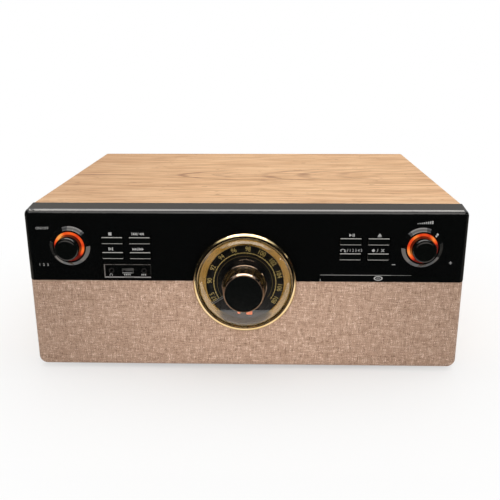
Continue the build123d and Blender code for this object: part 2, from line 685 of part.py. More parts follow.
def front_fascia():
    """A gloss shell, open at the back, with the collars, key windows, socket recess and drawer slot."""
    half = FASCIA_WIDTH / 2
    outer = loft([corner_outline(wood_front, FASCIA_BACK_CORNER), corner_outline(front, FASCIA_FRONT_CORNER)])
    rim = outer.faces().sort_by(Axis.Y)[0].edges().sort_by(Axis.Z)[1:]
    outer = fillet(rim, FASCIA_EDGE_RADIUS)
    silhouette = block((-half, half), (front - 1, wood_front + 1), (fascia_bottom, cabinet_top + 20))
    silhouette = fillet(silhouette.edges().filter_by(Axis.Y).sort_by(Axis.Z)[:2], FASCIA_CORNER_RADIUS)
    outer = outer & silhouette
    inside = block((-half + FASCIA_WALL, half - FASCIA_WALL), (front + FASCIA_WALL, wood_front + 1),
                   (fascia_bottom + FASCIA_WALL, cabinet_top - FASCIA_WALL))
    inside = fillet(inside.edges().filter_by(Axis.Y).sort_by(Axis.Z)[-2:], FASCIA_FRONT_CORNER - FASCIA_WALL)
    inner_rim = inside.faces().sort_by(Axis.Y)[0].edges().sort_by(Axis.Z)[1:]
    inside = fillet(inner_rim, FASCIA_EDGE_RADIUS - FASCIA_WALL)
    shell = outer - inside
    for side in (-1, 1):
        x = side * KNOB_X
        shell = shell + bore_front(boss_radius, x, knob_z, FASCIA_WALL / 2, BOSS_DEPTH)
    for side, low in ((-1, board_low_left), (1, board_low_right)):
        for x, z in board_pegs(side, low):
            shell = shell + bore_front(PEG_RADIUS, x, z, FASCIA_WALL / 2, BOARD_SETBACK)
    for side in (-1, 1):
        x = side * KNOB_X
        collar = [(0, 0), (COLLAR_RADIUS, 0), (COLLAR_TOP_RADIUS, -COLLAR_PROUD), (0, -COLLAR_PROUD)]
        shell = shell + turned_front(collar, x, knob_z)
        shell = shell - bore_front(RING_RADIUS + CLEAR, x, knob_z, -COLLAR_PROUD - 1, BOSS_DEPTH + 1)
    shell = shell - bore_front(dial_opening, 0, fascia_bottom, -1, FASCIA_DEPTH + 1)
    for x, z in key_places:
        window = Rectangle(KEY_WIDTH + 2 * KEY_CLEAR, KEY_HEIGHT + 2 * KEY_CLEAR)
        shell = shell - front_plane(x, -1, z) * extrude(window, FASCIA_WALL + 2)
    slot_half = DRAWER_WIDTH / 2 + GRILLE_GAP
    slot_top = fascia_bottom + GRILLE_GAP + DRAWER_HEIGHT
    shell = shell - block((drawer_x - slot_half, drawer_x + slot_half), (front - 1, wood_front + 1),
                          (fascia_bottom - 1, slot_top))
    shell = shell - block((drawer_x - chassis_half - CLEAR, drawer_x + chassis_half + CLEAR),
                          (chassis_y[0] - CLEAR, wood_front + 1), (fascia_bottom - 1, fascia_bottom + FASCIA_WALL + 1))
    recess = extrude(Rectangle(PORT_WIDTH, PORT_HEIGHT), PORT_DEPTH, taper=45)
    shell = shell - front_plane(PORT_X, 0, port_z) * recess
    for x, z in jack_places:
        shell = shell - bore_front(JACK_RADIUS + RUNNING_FIT, x, z, 0, FASCIA_WALL + 1)
    usb = Rectangle(USB_WIDTH + 2 * RUNNING_FIT, USB_HEIGHT + 2 * RUNNING_FIT)
    return shell - front_plane(PORT_X, 0, port_z) * extrude(usb, FASCIA_WALL + 1)


parts["front_fascia"] = front_fascia()


# ---------------------------------------------------------------- lower front
grille_half = FASCIA_WIDTH / 2 - GRILLE_STEP
grille_front = front + GRILLE_SETBACK
grille_top = fascia_bottom - GRILLE_GAP
board_half = grille_half - CLOTH_THICKNESS
baffle_front = grille_front + CLOTH_THICKNESS
baffle_back = baffle_front + BAFFLE_THICKNESS


def baffle_form():
    return front_box(board_half, baffle_front, cabinet_bottom + CLOTH_THICKNESS, grille_top - CLOTH_THICKNESS,
                     GRILLE_EDGE_RADIUS - CLOTH_THICKNESS, GRILLE_CORNER_RADIUS - CLOTH_THICKNESS)


def dial_notch():
    return rod(dial_opening, (0, front - 1, fascia_bottom), (0, wood_front + 1, fascia_bottom))


def baffle_hollow():
    return block((-board_half + BAFFLE_THICKNESS, board_half - BAFFLE_THICKNESS), (baffle_back, wood_front + 1),
                 (cabinet_bottom + CLOTH_THICKNESS + BAFFLE_THICKNESS, cabinet_top))


def speaker_baffle():
    """The board under the cloth, with returns at the sides and the bottom."""
    board = baffle_form() - baffle_hollow() - dial_notch()
    for x in (-SPEAKER_X, SPEAKER_X):
        board = board - rod(cone_radius + SEAT, (x, front - 1, speaker_z), (x, baffle_back + 1, speaker_z))
    return board


def grille_cloth():
    """The cloth, wrapped over the board's front, sides, bottom and top edge."""
    outer = front_box(grille_half, grille_front, cabinet_bottom, grille_top, GRILLE_EDGE_RADIUS,
                      GRILLE_CORNER_RADIUS)
    return outer - baffle_form() - baffle_hollow() - dial_notch()


def speaker_frame(x):
    """Basket and magnet, screwed to the back of the baffle."""
    y0 = baffle_back
    hole = cone_radius + SEAT
    ring = rod(speaker_radius, (x, y0, speaker_z), (x, y0 + SPEAKER_PLATE, speaker_z))
    ring = ring - rod(hole, (x, y0 - 1, speaker_z), (x, y0 + SPEAKER_PLATE + 1, speaker_z))
    magnet_back = BASKET_DEPTH + MAGNET_DEPTH
    profile = [(hole, 0), (hole + BASKET_WALL, 0), (hole + BASKET_WALL, 2 * BASKET_WALL),
               (BASKET_BACK_RADIUS, BASKET_DEPTH), (MAGNET_RADIUS, BASKET_DEPTH), (MAGNET_RADIUS, magnet_back),
               (0, magnet_back), (0, BASKET_DEPTH - BASKET_WALL),
               (BASKET_BACK_RADIUS - 2.25 * BASKET_WALL, BASKET_DEPTH - BASKET_WALL), (hole, 1.7 * BASKET_WALL)]
    face = make_face(Polyline(*profile, close=True))
    basket = Pos(x, y0, speaker_z) * revolve(face, Axis.Y)
    return ring + basket


def speaker_cone(x):
    """The paper cone, its surround and dust cap, seated on the frame's inner edge."""
    fold = cone_radius + SEAT / 3
    edge = cone_radius + SEAT - PAPER / 3
    neck = cone_radius - 2 * PAPER
    front_line = [(0, CONE_DEPTH - 2.5 * PAPER), (DUST_CAP_RADIUS, CONE_DEPTH), (neck, 2 * PAPER),
                  (fold, PAPER / 2), (edge, PAPER)]
    back_line = [(radius, depth + PAPER) for radius, depth in reversed(front_line)]
    face = make_face(Polyline(*(front_line + back_line), close=True))
    return Pos(x, baffle_back, speaker_z) * revolve(face, Axis.Y)


parts["speaker_baffle"] = speaker_baffle()
parts["grille_cloth"] = grille_cloth()
parts["speaker_frames"] = group([speaker_frame(-SPEAKER_X), speaker_frame(SPEAKER_X)])
parts["speaker_cones"] = group([speaker_cone(-SPEAKER_X), speaker_cone(SPEAKER_X)])


# ---------------------------------------------------------------- side knobs and their controls
ring_inner = RING_RADIUS - RING_WALL
SHAFT_START = -KNOB_PROUD + 4.0


def light_ring(x):
    """A clear tube that carries the light round the knob, with a flange behind the boss."""
    flange = RING_RADIUS + 2.6
    profile = [(ring_inner, -RING_PROUD), (RING_RADIUS, -RING_PROUD), (RING_RADIUS, BOSS_DEPTH), (flange, BOSS_DEPTH),
               (flange, BOSS_DEPTH + 1.5), (ring_inner, BOSS_DEPTH + 1.5)]
    return turned_front(profile, x, knob_z)


def side_knob(x, bore):
    profile = [(bore, 1.0), (KNOB_RADIUS, 1.0), (KNOB_RADIUS, -2.0), (KNOB_FACE_RADIUS, -KNOB_PROUD + 0.8),
               (KNOB_FACE_RADIUS - 0.8, -KNOB_PROUD), (0, -KNOB_PROUD), (0, SHAFT_START), (bore, SHAFT_START)]
    return turned_front(profile, x, knob_z)


def control_body(x, bore):
    half = CONTROL_HALF
    box = block((x - half, x + half), (front + CONTROL_FRONT, board_front), (knob_z - half, knob_z + half))
    return box - bore_front(bore, x, knob_z, CONTROL_FRONT - 1, BOARD_SETBACK - 0.5)


def tuning_capacitor():
    """The variable capacitor on its bracket, held off the dial pan by four posts."""
    bracket = block((-POST_X - BRACKET_MARGIN, POST_X + BRACKET_MARGIN),
                    (front + bracket_front, front + bracket_back), (wheel_z - CAPACITOR_BELOW, fascia_bottom + BRACKET_RISE))
    body = block((-CAPACITOR_WIDTH / 2, CAPACITOR_WIDTH / 2),
                 (front + bracket_back, front + bracket_back + CAPACITOR_DEPTH),
                 (wheel_z - CAPACITOR_BELOW, wheel_z + CAPACITOR_ABOVE))
    solid = bracket + body
    pan_back = -DIAL_PROUD + 2 * DIAL_THICKNESS
    for x in (-POST_X, POST_X):
        for z in (fascia_bottom - POST_Z, fascia_bottom + POST_Z):
            solid = solid + bore_front(POST_RADIUS, x, z, pan_back, bracket_front)
    solid = solid - bore_front(TUNING_SHAFT_RADIUS + RUNNING_FIT, 0, fascia_bottom, bracket_front - 1, bracket_back + 1)
    wheel_bore = CAPACITOR_SHAFT_RADIUS + RUNNING_FIT
    return solid - bore_front(wheel_bore, 0, wheel_z, bracket_front - 1, bracket_back + 7)


plunger_radius = KNOB_SHAFT_RADIUS + RUNNING_FIT + PLUNGER_WALL
parts["knob_light_rings"] = group([light_ring(-KNOB_X), light_ring(KNOB_X)])
encoder = control_body(-KNOB_X, plunger_radius + RUNNING_FIT)
potentiometer = control_body(KNOB_X, KNOB_SHAFT_RADIUS + RUNNING_FIT)
parts["rotary_controls"] = group([encoder, potentiometer, tuning_capacitor()])
plunger_end = BOARD_SETBACK - 0.5 - PUSH_TRAVEL - 0.1
plunger = bore_front(plunger_radius, -KNOB_X, knob_z, 2.5, plunger_end)
parts["encoder_plunger"] = plunger - bore_front(KNOB_SHAFT_RADIUS + RUNNING_FIT, -KNOB_X, knob_z, 0, BOARD_SETBACK)
source_shaft = bore_front(KNOB_SHAFT_RADIUS, -KNOB_X, knob_z, SHAFT_START, plunger_end)
parts["source_knob"] = group([side_knob(-KNOB_X, KNOB_SHAFT_RADIUS), source_shaft])
volume_shaft = bore_front(KNOB_SHAFT_RADIUS, KNOB_X, knob_z, SHAFT_START, BOARD_SETBACK - 0.6)
parts["volume_knob"] = group([side_knob(KNOB_X, KNOB_SHAFT_RADIUS), volume_shaft])

# ---------------------------------------------------------------- keys, boards and front sockets
switch_front = BOARD_SETBACK - SWITCH_HEIGHT - ACTUATOR
key_end = switch_front - KEY_TRAVEL - 0.1


def key(x, z):
    """A key cap with bevelled edges, a lip behind the fascia and a stem to its switch."""
    cap = front_plane(x, -KEY_PROUD, z) * extrude(Rectangle(KEY_WIDTH, KEY_HEIGHT),
                                                  KEY_PROUD + FASCIA_WALL + LIP_GAP)
    cap = chamfer(cap.faces().sort_by(Axis.Y)[0].edges(), KEY_CHAMFER)
    lip = Rectangle(KEY_WIDTH + 2 * KEY_LIP, KEY_HEIGHT + 2 * KEY_LIP)
    lip_front = FASCIA_WALL + LIP_GAP
    lip_plate = front_plane(x, lip_front, z) * extrude(lip, LIP_THICKNESS)
    return cap + lip_plate + bore_front(KEY_STEM_RADIUS, x, z, lip_front + LIP_THICKNESS, key_end)


def key_board(side, low):
    """A board on the fascia's pegs."""
    x = sorted((side * (board_inner - BOARD_MARGIN), side * (board_outer + BOARD_MARGIN)))
    return block(x, (board_front, board_front + BOARD_THICKNESS), (low - BOARD_MARGIN, board_top + BOARD_MARGIN))


def key_switch(x, z):
    body = block((x - SWITCH_HALF, x + SWITCH_HALF), (board_front - SWITCH_HEIGHT, board_front),
                 (z - SWITCH_HALF, z + SWITCH_HALF))
    return body + bore_front(ACTUATOR_RADIUS, x, z, switch_front, BOARD_SETBACK - SWITCH_HEIGHT)


key_names = {(-1, 1, 0): "key_stop", (-1, 0, 0): "key_skip_back", (-1, 1, 1): "key_mode",
             (-1, 0, 1): "key_skip_forward", (1, 0, 0): "key_play", (1, 1, 0): "key_eject",
             (1, 0, 1): "key_repeat", (1, 1, 1): "key_record"}
for (side, column, row), name in key_names.items():
    parts[name] = key(side * KEY_COLUMNS[column], fascia_bottom + KEY_ROWS[row])
parts["button_boards"] = group([key_board(-1, board_low_left), key_board(1, board_low_right)]
                               + [key_switch(x, z) for x, z in key_places])


def audio_jack(x, z):
    """A 3.5 mm jack: round bush in the fascia, square body on the board."""
    body = block((x - 4.5, x + 4.5), (front + FASCIA_WALL + LIP_GAP, board_front), (z - 4, z + 4))
    bush = bore_front(JACK_RADIUS, x, z, PORT_DEPTH, FASCIA_WALL + LIP_GAP)
    return body + bush - bore_front(1.8, x, z, 0, 11)


def usb_socket():
    """The metal shell, and the tongue on its block inside."""
    wall = 0.4
    shell = front_plane(PORT_X, PORT_DEPTH, port_z) * extrude(Rectangle(USB_WIDTH, USB_HEIGHT),
                                                              BOARD_SETBACK - PORT_DEPTH)
    inside = Rectangle(USB_WIDTH - 2 * wall, USB_HEIGHT - 2 * wall)
    shell = shell - front_plane(PORT_X, 0, port_z) * extrude(inside, BOARD_SETBACK + 1)
    block_part = front_plane(PORT_X, 10.5, port_z) * extrude(inside, BOARD_SETBACK - 10.5)
    tongue = front_plane(PORT_X, PORT_DEPTH + 1, port_z + 0.9) * extrude(Rectangle(11.0, 1.8), 9.0)
    return [shell, block_part + tongue]


parts["audio_jacks"] = group([audio_jack(x, z) for x, z in jack_places])
parts["usb_socket"] = group(usb_socket())


# ---------------------------------------------------------------- CD player
tray_y = (front + DRAWER_FRONT, front + DRAWER_FRONT + TRAY_LENGTH)
disc_bed = tray_top - DISC_RECESS


def cd_drawer():
    """The drawer front with the tray behind it: disc recess and a slot for the spindle."""
    half = DRAWER_WIDTH / 2
    plate = block((drawer_x - half, drawer_x + half), (front, front + DRAWER_FRONT),
                  (drawer_z - DRAWER_HEIGHT / 2 + GRILLE_GAP / 2, drawer_z + DRAWER_HEIGHT / 2 - GRILLE_GAP / 2))
    tray = block((drawer_x - TRAY_WIDTH / 2, drawer_x + TRAY_WIDTH / 2), tray_y, (tray_bottom, tray_top))
    tray = tray - rod(DISC_RADIUS, (drawer_x, spindle_y, disc_bed), (drawer_x, spindle_y, tray_top + 1))
    tray = tray - rod(DISC_RADIUS * 0.67, (drawer_x, spindle_y, disc_bed - 1.2), (drawer_x, spindle_y, tray_top + 1))
    slot = block((drawer_x - TRAY_SLOT / 2, drawer_x + TRAY_SLOT / 2), (spindle_y, tray_y[1] + 1),
                 (tray_bottom - 1, tray_top + 1))
    eye = rod(TRAY_SLOT / 2, (drawer_x, spindle_y, tray_bottom - 1), (drawer_x, spindle_y, tray_top + 1))
    return plate + tray - slot - eye


def cd_chassis():
    """The frame round the tray with its rails, and the motor and pickup on its floor."""
    x = (drawer_x - chassis_half, drawer_x + chassis_half)
    frame = block(x, chassis_y, (chassis_low, chassis_high))
    inside = block((x[0] + CHASSIS_WALL, x[1] - CHASSIS_WALL), (chassis_y[0] - 1, chassis_y[1] - CHASSIS_WALL),
                   (chassis_low + CHASSIS_WALL, chassis_high - CHASSIS_WALL))
    frame = frame - inside
    for side in (-1, 1):
        rail_x = sorted((drawer_x + side * (TRAY_WIDTH / 2 - RAIL_WIDTH), drawer_x + side * (chassis_half - 1)))
        frame = frame + block(rail_x, chassis_y, (chassis_low, tray_bottom - CLEAR))
        frame = frame + block(rail_x, chassis_y, (tray_top + CLEAR, chassis_high))
    for x_lug in (x[0] + 6, x[1] - 6):
        for y_lug in (chassis_y[0] + 30, chassis_y[1] - 10):
            frame = frame + rod(4.0, (x_lug, y_lug, chassis_high), (x_lug, y_lug, deck_under))
    floor = chassis_low + CHASSIS_WALL
    motor = rod(CD_MOTOR_RADIUS, (drawer_x, spindle_y, floor), (drawer_x, spindle_y, floor + CD_MOTOR_HEIGHT))
    motor = motor - rod(CD_SHAFT_RADIUS + RUNNING_FIT, (drawer_x, spindle_y, floor + 0.5),
                        (drawer_x, spindle_y, floor + 10))
    pickup = block((drawer_x - 12, drawer_x + 12), (spindle_y + 26, spindle_y + 50), (floor, tray_bottom - 1.5))
    lens = rod(3.0, (drawer_x, spindle_y + 38, tray_bottom - 1.5), (drawer_x, spindle_y + 38, tray_bottom - 0.5))
    return [frame, motor, pickup + lens]


def cd_spindle():
    """The turntable of the CD motor with its centring cone and shaft."""
    floor = chassis_low + CHASSIS_WALL
    table_top = disc_bed + CLEAR
    profile = [(0, floor + 1), (CD_SHAFT_RADIUS, floor + 1), (CD_SHAFT_RADIUS, table_top - 2),
               (CD_TABLE_RADIUS, table_top - 2), (CD_TABLE_RADIUS, table_top), (7.4, table_top),
               (6.4, table_top + 2), (0, table_top + 2)]
    return turned_up(profile, drawer_x, spindle_y)


parts["cd_drawer"] = cd_drawer()
parts["cd_chassis"] = group(cd_chassis())
parts["cd_spindle"] = cd_spindle()

# ---------------------------------------------------------------- record deck
pulley_at = (platter_at[0] + PULLEY_DISTANCE * math.cos(math.radians(PULLEY_ANGLE)),
             platter_at[1] + PULLEY_DISTANCE * math.sin(math.radians(PULLEY_ANGLE)))
lift_angle = math.radians(270.0 - 26.0)
lift_at = (arm_at[0] + LIFT_RADIUS * math.cos(lift_angle), arm_at[1] + LIFT_RADIUS * math.sin(lift_angle))
bearing_low = deck_under - BEARING_LENGTH


def deck_plate():
    """The deck moulding: plate, front wall up to the lid and the bearing for the spindle."""
    half = inner_side - CLEAR
    plate = block((-half, half), (wood_front, rear_inside - CLEAR), (deck_under, deck_top))
    wall = block((-half, half), (wood_front, wood_front + DECK_THICKNESS), (deck_under, panel_top - CLEAR))
    x, y = platter_at
    plate = plate + wall + rod(BEARING_RADIUS, (x, y, bearing_low), (x, y, deck_under))
    plate = plate - rod(SPINDLE_RADIUS + RUNNING_FIT, (x, y, bearing_low + 1), (x, y, deck_top + 1))
    plate = plate - rod(PULLEY_RADIUS, (*pulley_at, deck_under - 1), (*pulley_at, deck_top + 1))
    selector = (selector_x, front + SELECTOR_Y)
    plate = plate - rod(SELECTOR_SHAFT + RUNNING_FIT, (*selector, deck_under - 1), (*selector, deck_top + 1))
    for place in deck_screws:
        plate = plate - screw_hole(*place)
    return plate


def platter():
    """The platter with its belt rim and hub."""
    x, y = platter_at
    under = deck_top + PLATTER_LIFT
    top = under + PLATTER_THICKNESS
    rim_low = deck_top + 2.0
    profile = [(SPINDLE_RADIUS, deck_top + CLEAR), (12, deck_top + CLEAR), (12, under),
               (RIM_RADIUS - RIM_WALL, under), (RIM_RADIUS - RIM_WALL, rim_low), (RIM_RADIUS, rim_low),
               (RIM_RADIUS, under), (PLATTER_RADIUS - 3, under), (PLATTER_RADIUS, under + 1.5),
               (PLATTER_RADIUS, top - 0.6), (PLATTER_RADIUS - 0.6, top), (SPINDLE_RADIUS, top)]
    return turned_up(profile, x, y)


def platter_spindle():
    x, y = platter_at
    top = deck_top + SPINDLE_TOP
    profile = [(0, bearing_low + 1), (SPINDLE_RADIUS, bearing_low + 1), (SPINDLE_RADIUS, top - 3),
               (SPINDLE_RADIUS - 0.8, top - 0.8), (SPINDLE_RADIUS - 2, top), (0, top)]
    return turned_up(profile, x, y)


def slipmat():
    x, y = platter_at
    low = deck_top + PLATTER_LIFT + PLATTER_THICKNESS
    mat = rod(MAT_RADIUS, (x, y, low), (x, y, low + MAT_THICKNESS))
    return mat - rod(SPINDLE_RADIUS + 0.2, (x, y, low - 1), (x, y, low + MAT_THICKNESS + 1))


def turntable_motor():
    can = rod(MOTOR_RADIUS, (*pulley_at, deck_under - MOTOR_HEIGHT), (*pulley_at, deck_under))
    return can - rod(1.0 + RUNNING_FIT, (*pulley_at, deck_under - 12), (*pulley_at, deck_under + 1))


def motor_pulley():
    low = deck_top + 2.0
    high = deck_top + PLATTER_LIFT - 1.0
    profile = [(0, deck_under - 11), (1, deck_under - 11), (1, low), (PULLEY_RADIUS + 1, low),
               (PULLEY_RADIUS + 1, low + 0.8), (PULLEY_RADIUS, low + 1.2), (PULLEY_RADIUS, high - 1.2),
               (PULLEY_RADIUS + 1, high - 0.8), (PULLEY_RADIUS + 1, high), (0, high)]
    return turned_up(profile, *pulley_at)


def drive_belt():
    """The flat belt round the platter's rim and the motor pulley."""
    gap = CLEAR
    angle = math.radians(PULLEY_ANGLE)
    loops = []
    for grow in (gap + BELT_THICKNESS, gap):
        rim = Circle(RIM_RADIUS + grow).edges()
        small = (Pos(PULLEY_DISTANCE * math.cos(angle), PULLEY_DISTANCE * math.sin(angle))
                 * Circle(PULLEY_RADIUS + grow)).edges()
        loops.append(extrude(make_hull(rim + small), BELT_HEIGHT))
    x, y = platter_at
    middle = deck_top + (2.0 + PLATTER_LIFT - 1.0) / 2
    return Pos(x, y, middle - BELT_HEIGHT / 2) * (loops[0] - loops[1])


def tonearm_base():
    """The pedestal with the boss of the cueing lift and the ear of the cueing lever."""
    x, y = arm_at
    top = deck_top + ARM_BASE_HEIGHT
    body = rod(ARM_BASE_RADIUS, (x, y, deck_top), (x, y, top))
    body = body + rod(6.0, (*lift_at, deck_top), (*lift_at, top))
    body = body + block((x, ear_x), (y - 7, y + 7), (deck_top, top))
    body = body - rod(GIMBAL_SHAFT + RUNNING_FIT, (x, y, deck_top + 1), (x, y, top + 1))
    body = body - rod(LIFT_PIN + RUNNING_FIT, (*lift_at, deck_top + 1), (*lift_at, top + 1))
    return body - rod(PIVOT_PIN + RUNNING_FIT, (ear_x - 6, y, cue_z), (ear_x + 1, y, cue_z))


def arm_rest():
    """A post with a shelf under the parked arm and a lip on the outer side."""
    x, y = arm_at[0], arm_at[1] - REST_DISTANCE
    shelf_top = arm_z - ARM_RADIUS - CLEAR
    post = rod(4.0, (x, y, deck_top), (x, y, shelf_top - 2))
    shelf = block((x - 5, x + ARM_RADIUS + 3), (y - 4, y + 4), (shelf_top - 2, shelf_top))
    lip = block((x + ARM_RADIUS + 0.5, x + ARM_RADIUS + 3), (y - 4, y + 4), (shelf_top, arm_z + 2))
    foot = rod(8.0, (x, y, deck_top), (x, y, deck_top + 3))
    return post + shelf + lip + foot


def tonearm_gimbal():
    """The swinging yoke that holds the arm's pivot pins."""
    x, y = arm_at
    disc_low = deck_top + ARM_BASE_HEIGHT + CLEAR
    outer = YOKE_INSIDE + YOKE_WALL
    body = rod(GIMBAL_SHAFT, (x, y, deck_top + 2), (x, y, disc_low + 1))
    body = body + rod(outer + 1, (x, y, disc_low), (x, y, disc_low + 3))
    for side in (-1, 1):
        arm_x = sorted((x + side * YOKE_INSIDE, x + side * outer))
        body = body + block(arm_x, (y - 5, y + 5), (disc_low + 2, arm_z + 5))
        body = body + rod(PIVOT_PIN, (x + side * 5, y, arm_z), (x + side * outer, y, arm_z))
    return body


def tonearm():
    """The arm: pivot block, tube, angled headshell with finger lift, and counterweight."""
    x, y = arm_at
    half = YOKE_INSIDE - 1.0
    solid = block((x - half, x + half), (y - 7, y + 7), (arm_z - 6, arm_z + 6))
    solid = solid - rod(PIVOT_PIN + RUNNING_FIT, (x - 12, y, arm_z), (x + 12, y, arm_z))
    tube = rod(ARM_RADIUS, (x, y - 6.9, arm_z), (x, y - ARM_LENGTH, arm_z))
    stub = rod(ARM_RADIUS, (x, y + 6.9, arm_z), (x, y + 16 + WEIGHT_LENGTH, arm_z))
    collar = rod(ARM_RADIUS + 1, (x, y - ARM_LENGTH + 10, arm_z), (x, y - ARM_LENGTH, arm_z))
    head = block((-8, 8), (-HEAD_LENGTH - 9, 2), (-ARM_RADIUS - 0.5, -ARM_RADIUS + 1.5))
    neck = block((-4, 4), (-6, 3), (-ARM_RADIUS, ARM_RADIUS - 1))
    finger = block((8, 20), (-HEAD_LENGTH - 4, -HEAD_LENGTH), (-ARM_RADIUS, -ARM_RADIUS + 1.2))
    head = Pos(x, y - ARM_LENGTH, arm_z) * Rot(0, 0, -HEAD_OFFSET) * (head + neck + finger)
    weight = rod(WEIGHT_RADIUS, (x, y + 16, arm_z), (x, y + 16 + WEIGHT_LENGTH, arm_z))
    weight = weight - rod(ARM_RADIUS, (x, y, arm_z), (x, y + 100, arm_z))
    return [solid + tube + stub + collar + head, weight]


def cartridge():
    """The cartridge body with its stylus."""
    x, y = arm_at
    top = -ARM_RADIUS - 0.5
    mat_top = PLATTER_LIFT + PLATTER_THICKNESS + MAT_THICKNESS
    tip = mat_top + 1.6 - ARM_HEIGHT
    body = block((-7, 7), (-HEAD_LENGTH - 6, -HEAD_LENGTH + 13), (tip + 1.8, top))
    stylus = Polyline((-HEAD_LENGTH - 1, tip + 1.8), (-HEAD_LENGTH, tip), (-HEAD_LENGTH + 6, tip + 1.8), close=True)
    wedge = Pos(1.0, 0, 0) * extrude(Plane.YZ * make_face(stylus), -2.0)
    return Pos(x, y - ARM_LENGTH, arm_z) * Rot(0, 0, -HEAD_OFFSET) * (body + wedge)


ear_x = arm_at[0] + ARM_BASE_RADIUS + 6.0
cue_z = deck_top + 8.0


def cue_lever():
    """The cueing lever on its pin at the side of the pedestal."""
    x0 = ear_x + CLEAR
    y = arm_at[1]
    solid = rod(PIVOT_PIN, (ear_x - 5, y, cue_z), (x0 + 2, y, cue_z))
    solid = solid + rod(4.0, (x0, y, cue_z), (x0 + 5, y, cue_z))
    solid = solid + block((x0 + 1, x0 + 4), (y - CUE_LEVER_LENGTH, y), (cue_z - 2, cue_z + 2))
    return solid + rod(3.2, (x0, y - CUE_LEVER_LENGTH, cue_z), (x0 + 5, y - CUE_LEVER_LENGTH, cue_z))


def cue_lift():
    """The curved bar under the arm on its pin."""
    top = arm_z - ARM_RADIUS - CLEAR
    x, y = arm_at
    ring = rod(LIFT_RADIUS + 3, (x, y, top - 2), (x, y, top)) - rod(LIFT_RADIUS - 3, (x, y, top - 3), (x, y, top + 1))
    reach = 2 * LIFT_RADIUS
    low = math.radians(210.0)
    high = math.radians(275.0)
    wedge = Polyline((0, 0), (reach * math.cos(low), reach * math.sin(low)),
                     (reach * math.cos((low + high) / 2) * 1.3, reach * math.sin((low + high) / 2) * 1.3),
                     (reach * math.cos(high), reach * math.sin(high)), close=True)
    sector = Pos(x, y, top - 3) * extrude(make_face(wedge), 4)
    return (ring & sector) + rod(LIFT_PIN, (*lift_at, deck_top + 3), (*lift_at, top - 1))


def speed_selector():
    x, y = selector_x, front + SELECTOR_Y
    low = deck_top + CLEAR
    solid = rod(SELECTOR_SHAFT, (x, y, deck_under - 2), (x, y, low + 1)) + rod(11.0, (x, y, low), (x, y, low + 5))
    return solid + block((x - 2.5, x + 2.5), (y - 13, y + 10), (low + 4, low + 11))


parts["deck_plate"] = deck_plate()
parts["platter"] = platter()
parts["platter_spindle"] = platter_spindle()
parts["slipmat"] = slipmat()
parts["turntable_motor"] = turntable_motor()
parts["motor_pulley"] = motor_pulley()
parts["drive_belt"] = drive_belt()
parts["tonearm_base"] = group([tonearm_base(), arm_rest()])
parts["tonearm_gimbal"] = tonearm_gimbal()
parts["tonearm"] = group(tonearm())
parts["cartridge"] = cartridge()
parts["cue_lever"] = cue_lever()
parts["cue_lift"] = cue_lift()
parts["speed_selector"] = speed_selector()

# ---------------------------------------------------------------- electronics and rear sockets
def circuit_board(corner, size, pieces):
    """A board on four standoffs; each component has its share of the board's length and depth."""
    x0, y0 = corner
    length, depth = size
    low = base_top + BOARD_LIFT
    top = low + BOARD_THICKNESS
    board = block((x0, x0 + length), (y0, y0 + depth), (low, top))
    for x in (x0 + STANDOFF_INSET, x0 + length - STANDOFF_INSET):
        for y in (y0 + STANDOFF_INSET, y0 + depth - STANDOFF_INSET):
            board = board + rod(STANDOFF_RADIUS, (x, y, base_top), (x, y, low))
    for piece, share_x, share_y in pieces:
        x = x0 + length * share_x
        y = y0 + depth * share_y
        if len(piece) == 2:
            board = board + rod(piece[0], (x, y, top), (x, y, top + piece[1]))
        else:
            half_x = piece[0] / 2
            half_y = piece[1] / 2
            board = board + block((x - half_x, x + half_x), (y - half_y, y + half_y), (top, top + piece[2]))
    return board


def circuit_boards():
    y0 = back - BOARD_FROM_BACK
    power_x = -inner_side + BOARD_INSET
    main_x = power_x + POWER_BOARD[0] + BOARD_GAP
    main = circuit_board((main_x, y0), MAIN_BOARD,
                         [(CHIP, 0.49, 0.63), (HEATSINK, 0.81, 0.21), (CAPACITOR, 0.16, 0.32),
                          (CAPACITOR, 0.27, 0.32), (DECODER, 0.19, 0.74)])
    power = circuit_board((power_x, y0), POWER_BOARD,
                          [(TRANSFORMER, 0.30, 0.44), (LARGE_CAPACITOR, 0.75, 0.31), (SMALL_CAPACITOR, 0.75, 0.65)])
    return [main, power]


def mains_inlet():
    """A two-pin inlet: flange, body through the panel, cavity and pins."""
    width, height = INLET_BODY
    body = block((inlet_x - width / 2, inlet_x + width / 2), (back - SOCKET_DEPTH, back),
                 (socket_z - height / 2, socket_z + height / 2))
    flange = block((inlet_x - width / 2 - 4, inlet_x + width / 2 + 4), (back, back + FLANGE),
                   (socket_z - height / 2 - 3, socket_z + height / 2 + 3))
    cavity = block((inlet_x - width / 2 + 2, inlet_x + width / 2 - 2), (back - 12, back + FLANGE + 1),
                   (socket_z - height / 2 + 2.5, socket_z + height / 2 - 2.5))
    solid = body + flange - cavity
    for x in (inlet_x - 4.3, inlet_x + 4.3):
        solid = solid + rod(1.15, (x, back - 12.5, socket_z), (x, back - 2, socket_z))
    return solid


def rocker_frame():
    width, height = ROCKER_BODY
    body = block((rocker_x - width / 2, rocker_x + width / 2), (back - SOCKET_DEPTH, back),
                 (socket_z - height / 2, socket_z + height / 2))
    flange = block((rocker_x - width / 2 - 2, rocker_x + width / 2 + 2), (back, back + FLANGE),
                   (socket_z - height / 2 - 2, socket_z + height / 2 + 2))
    hole_x = ROCKER_HALF[0] + CLEAR
    hole_z = ROCKER_HALF[1] + 0.9
    well = block((rocker_x - hole_x, rocker_x + hole_x), (back - 12, back + FLANGE + 1),
                 (socket_z - hole_z, socket_z + hole_z))
    pin = rod(1.2, (rocker_x - hole_x - 0.5, back - 2, socket_z), (rocker_x + hole_x + 0.5, back - 2, socket_z))
    return body + flange - well + pin


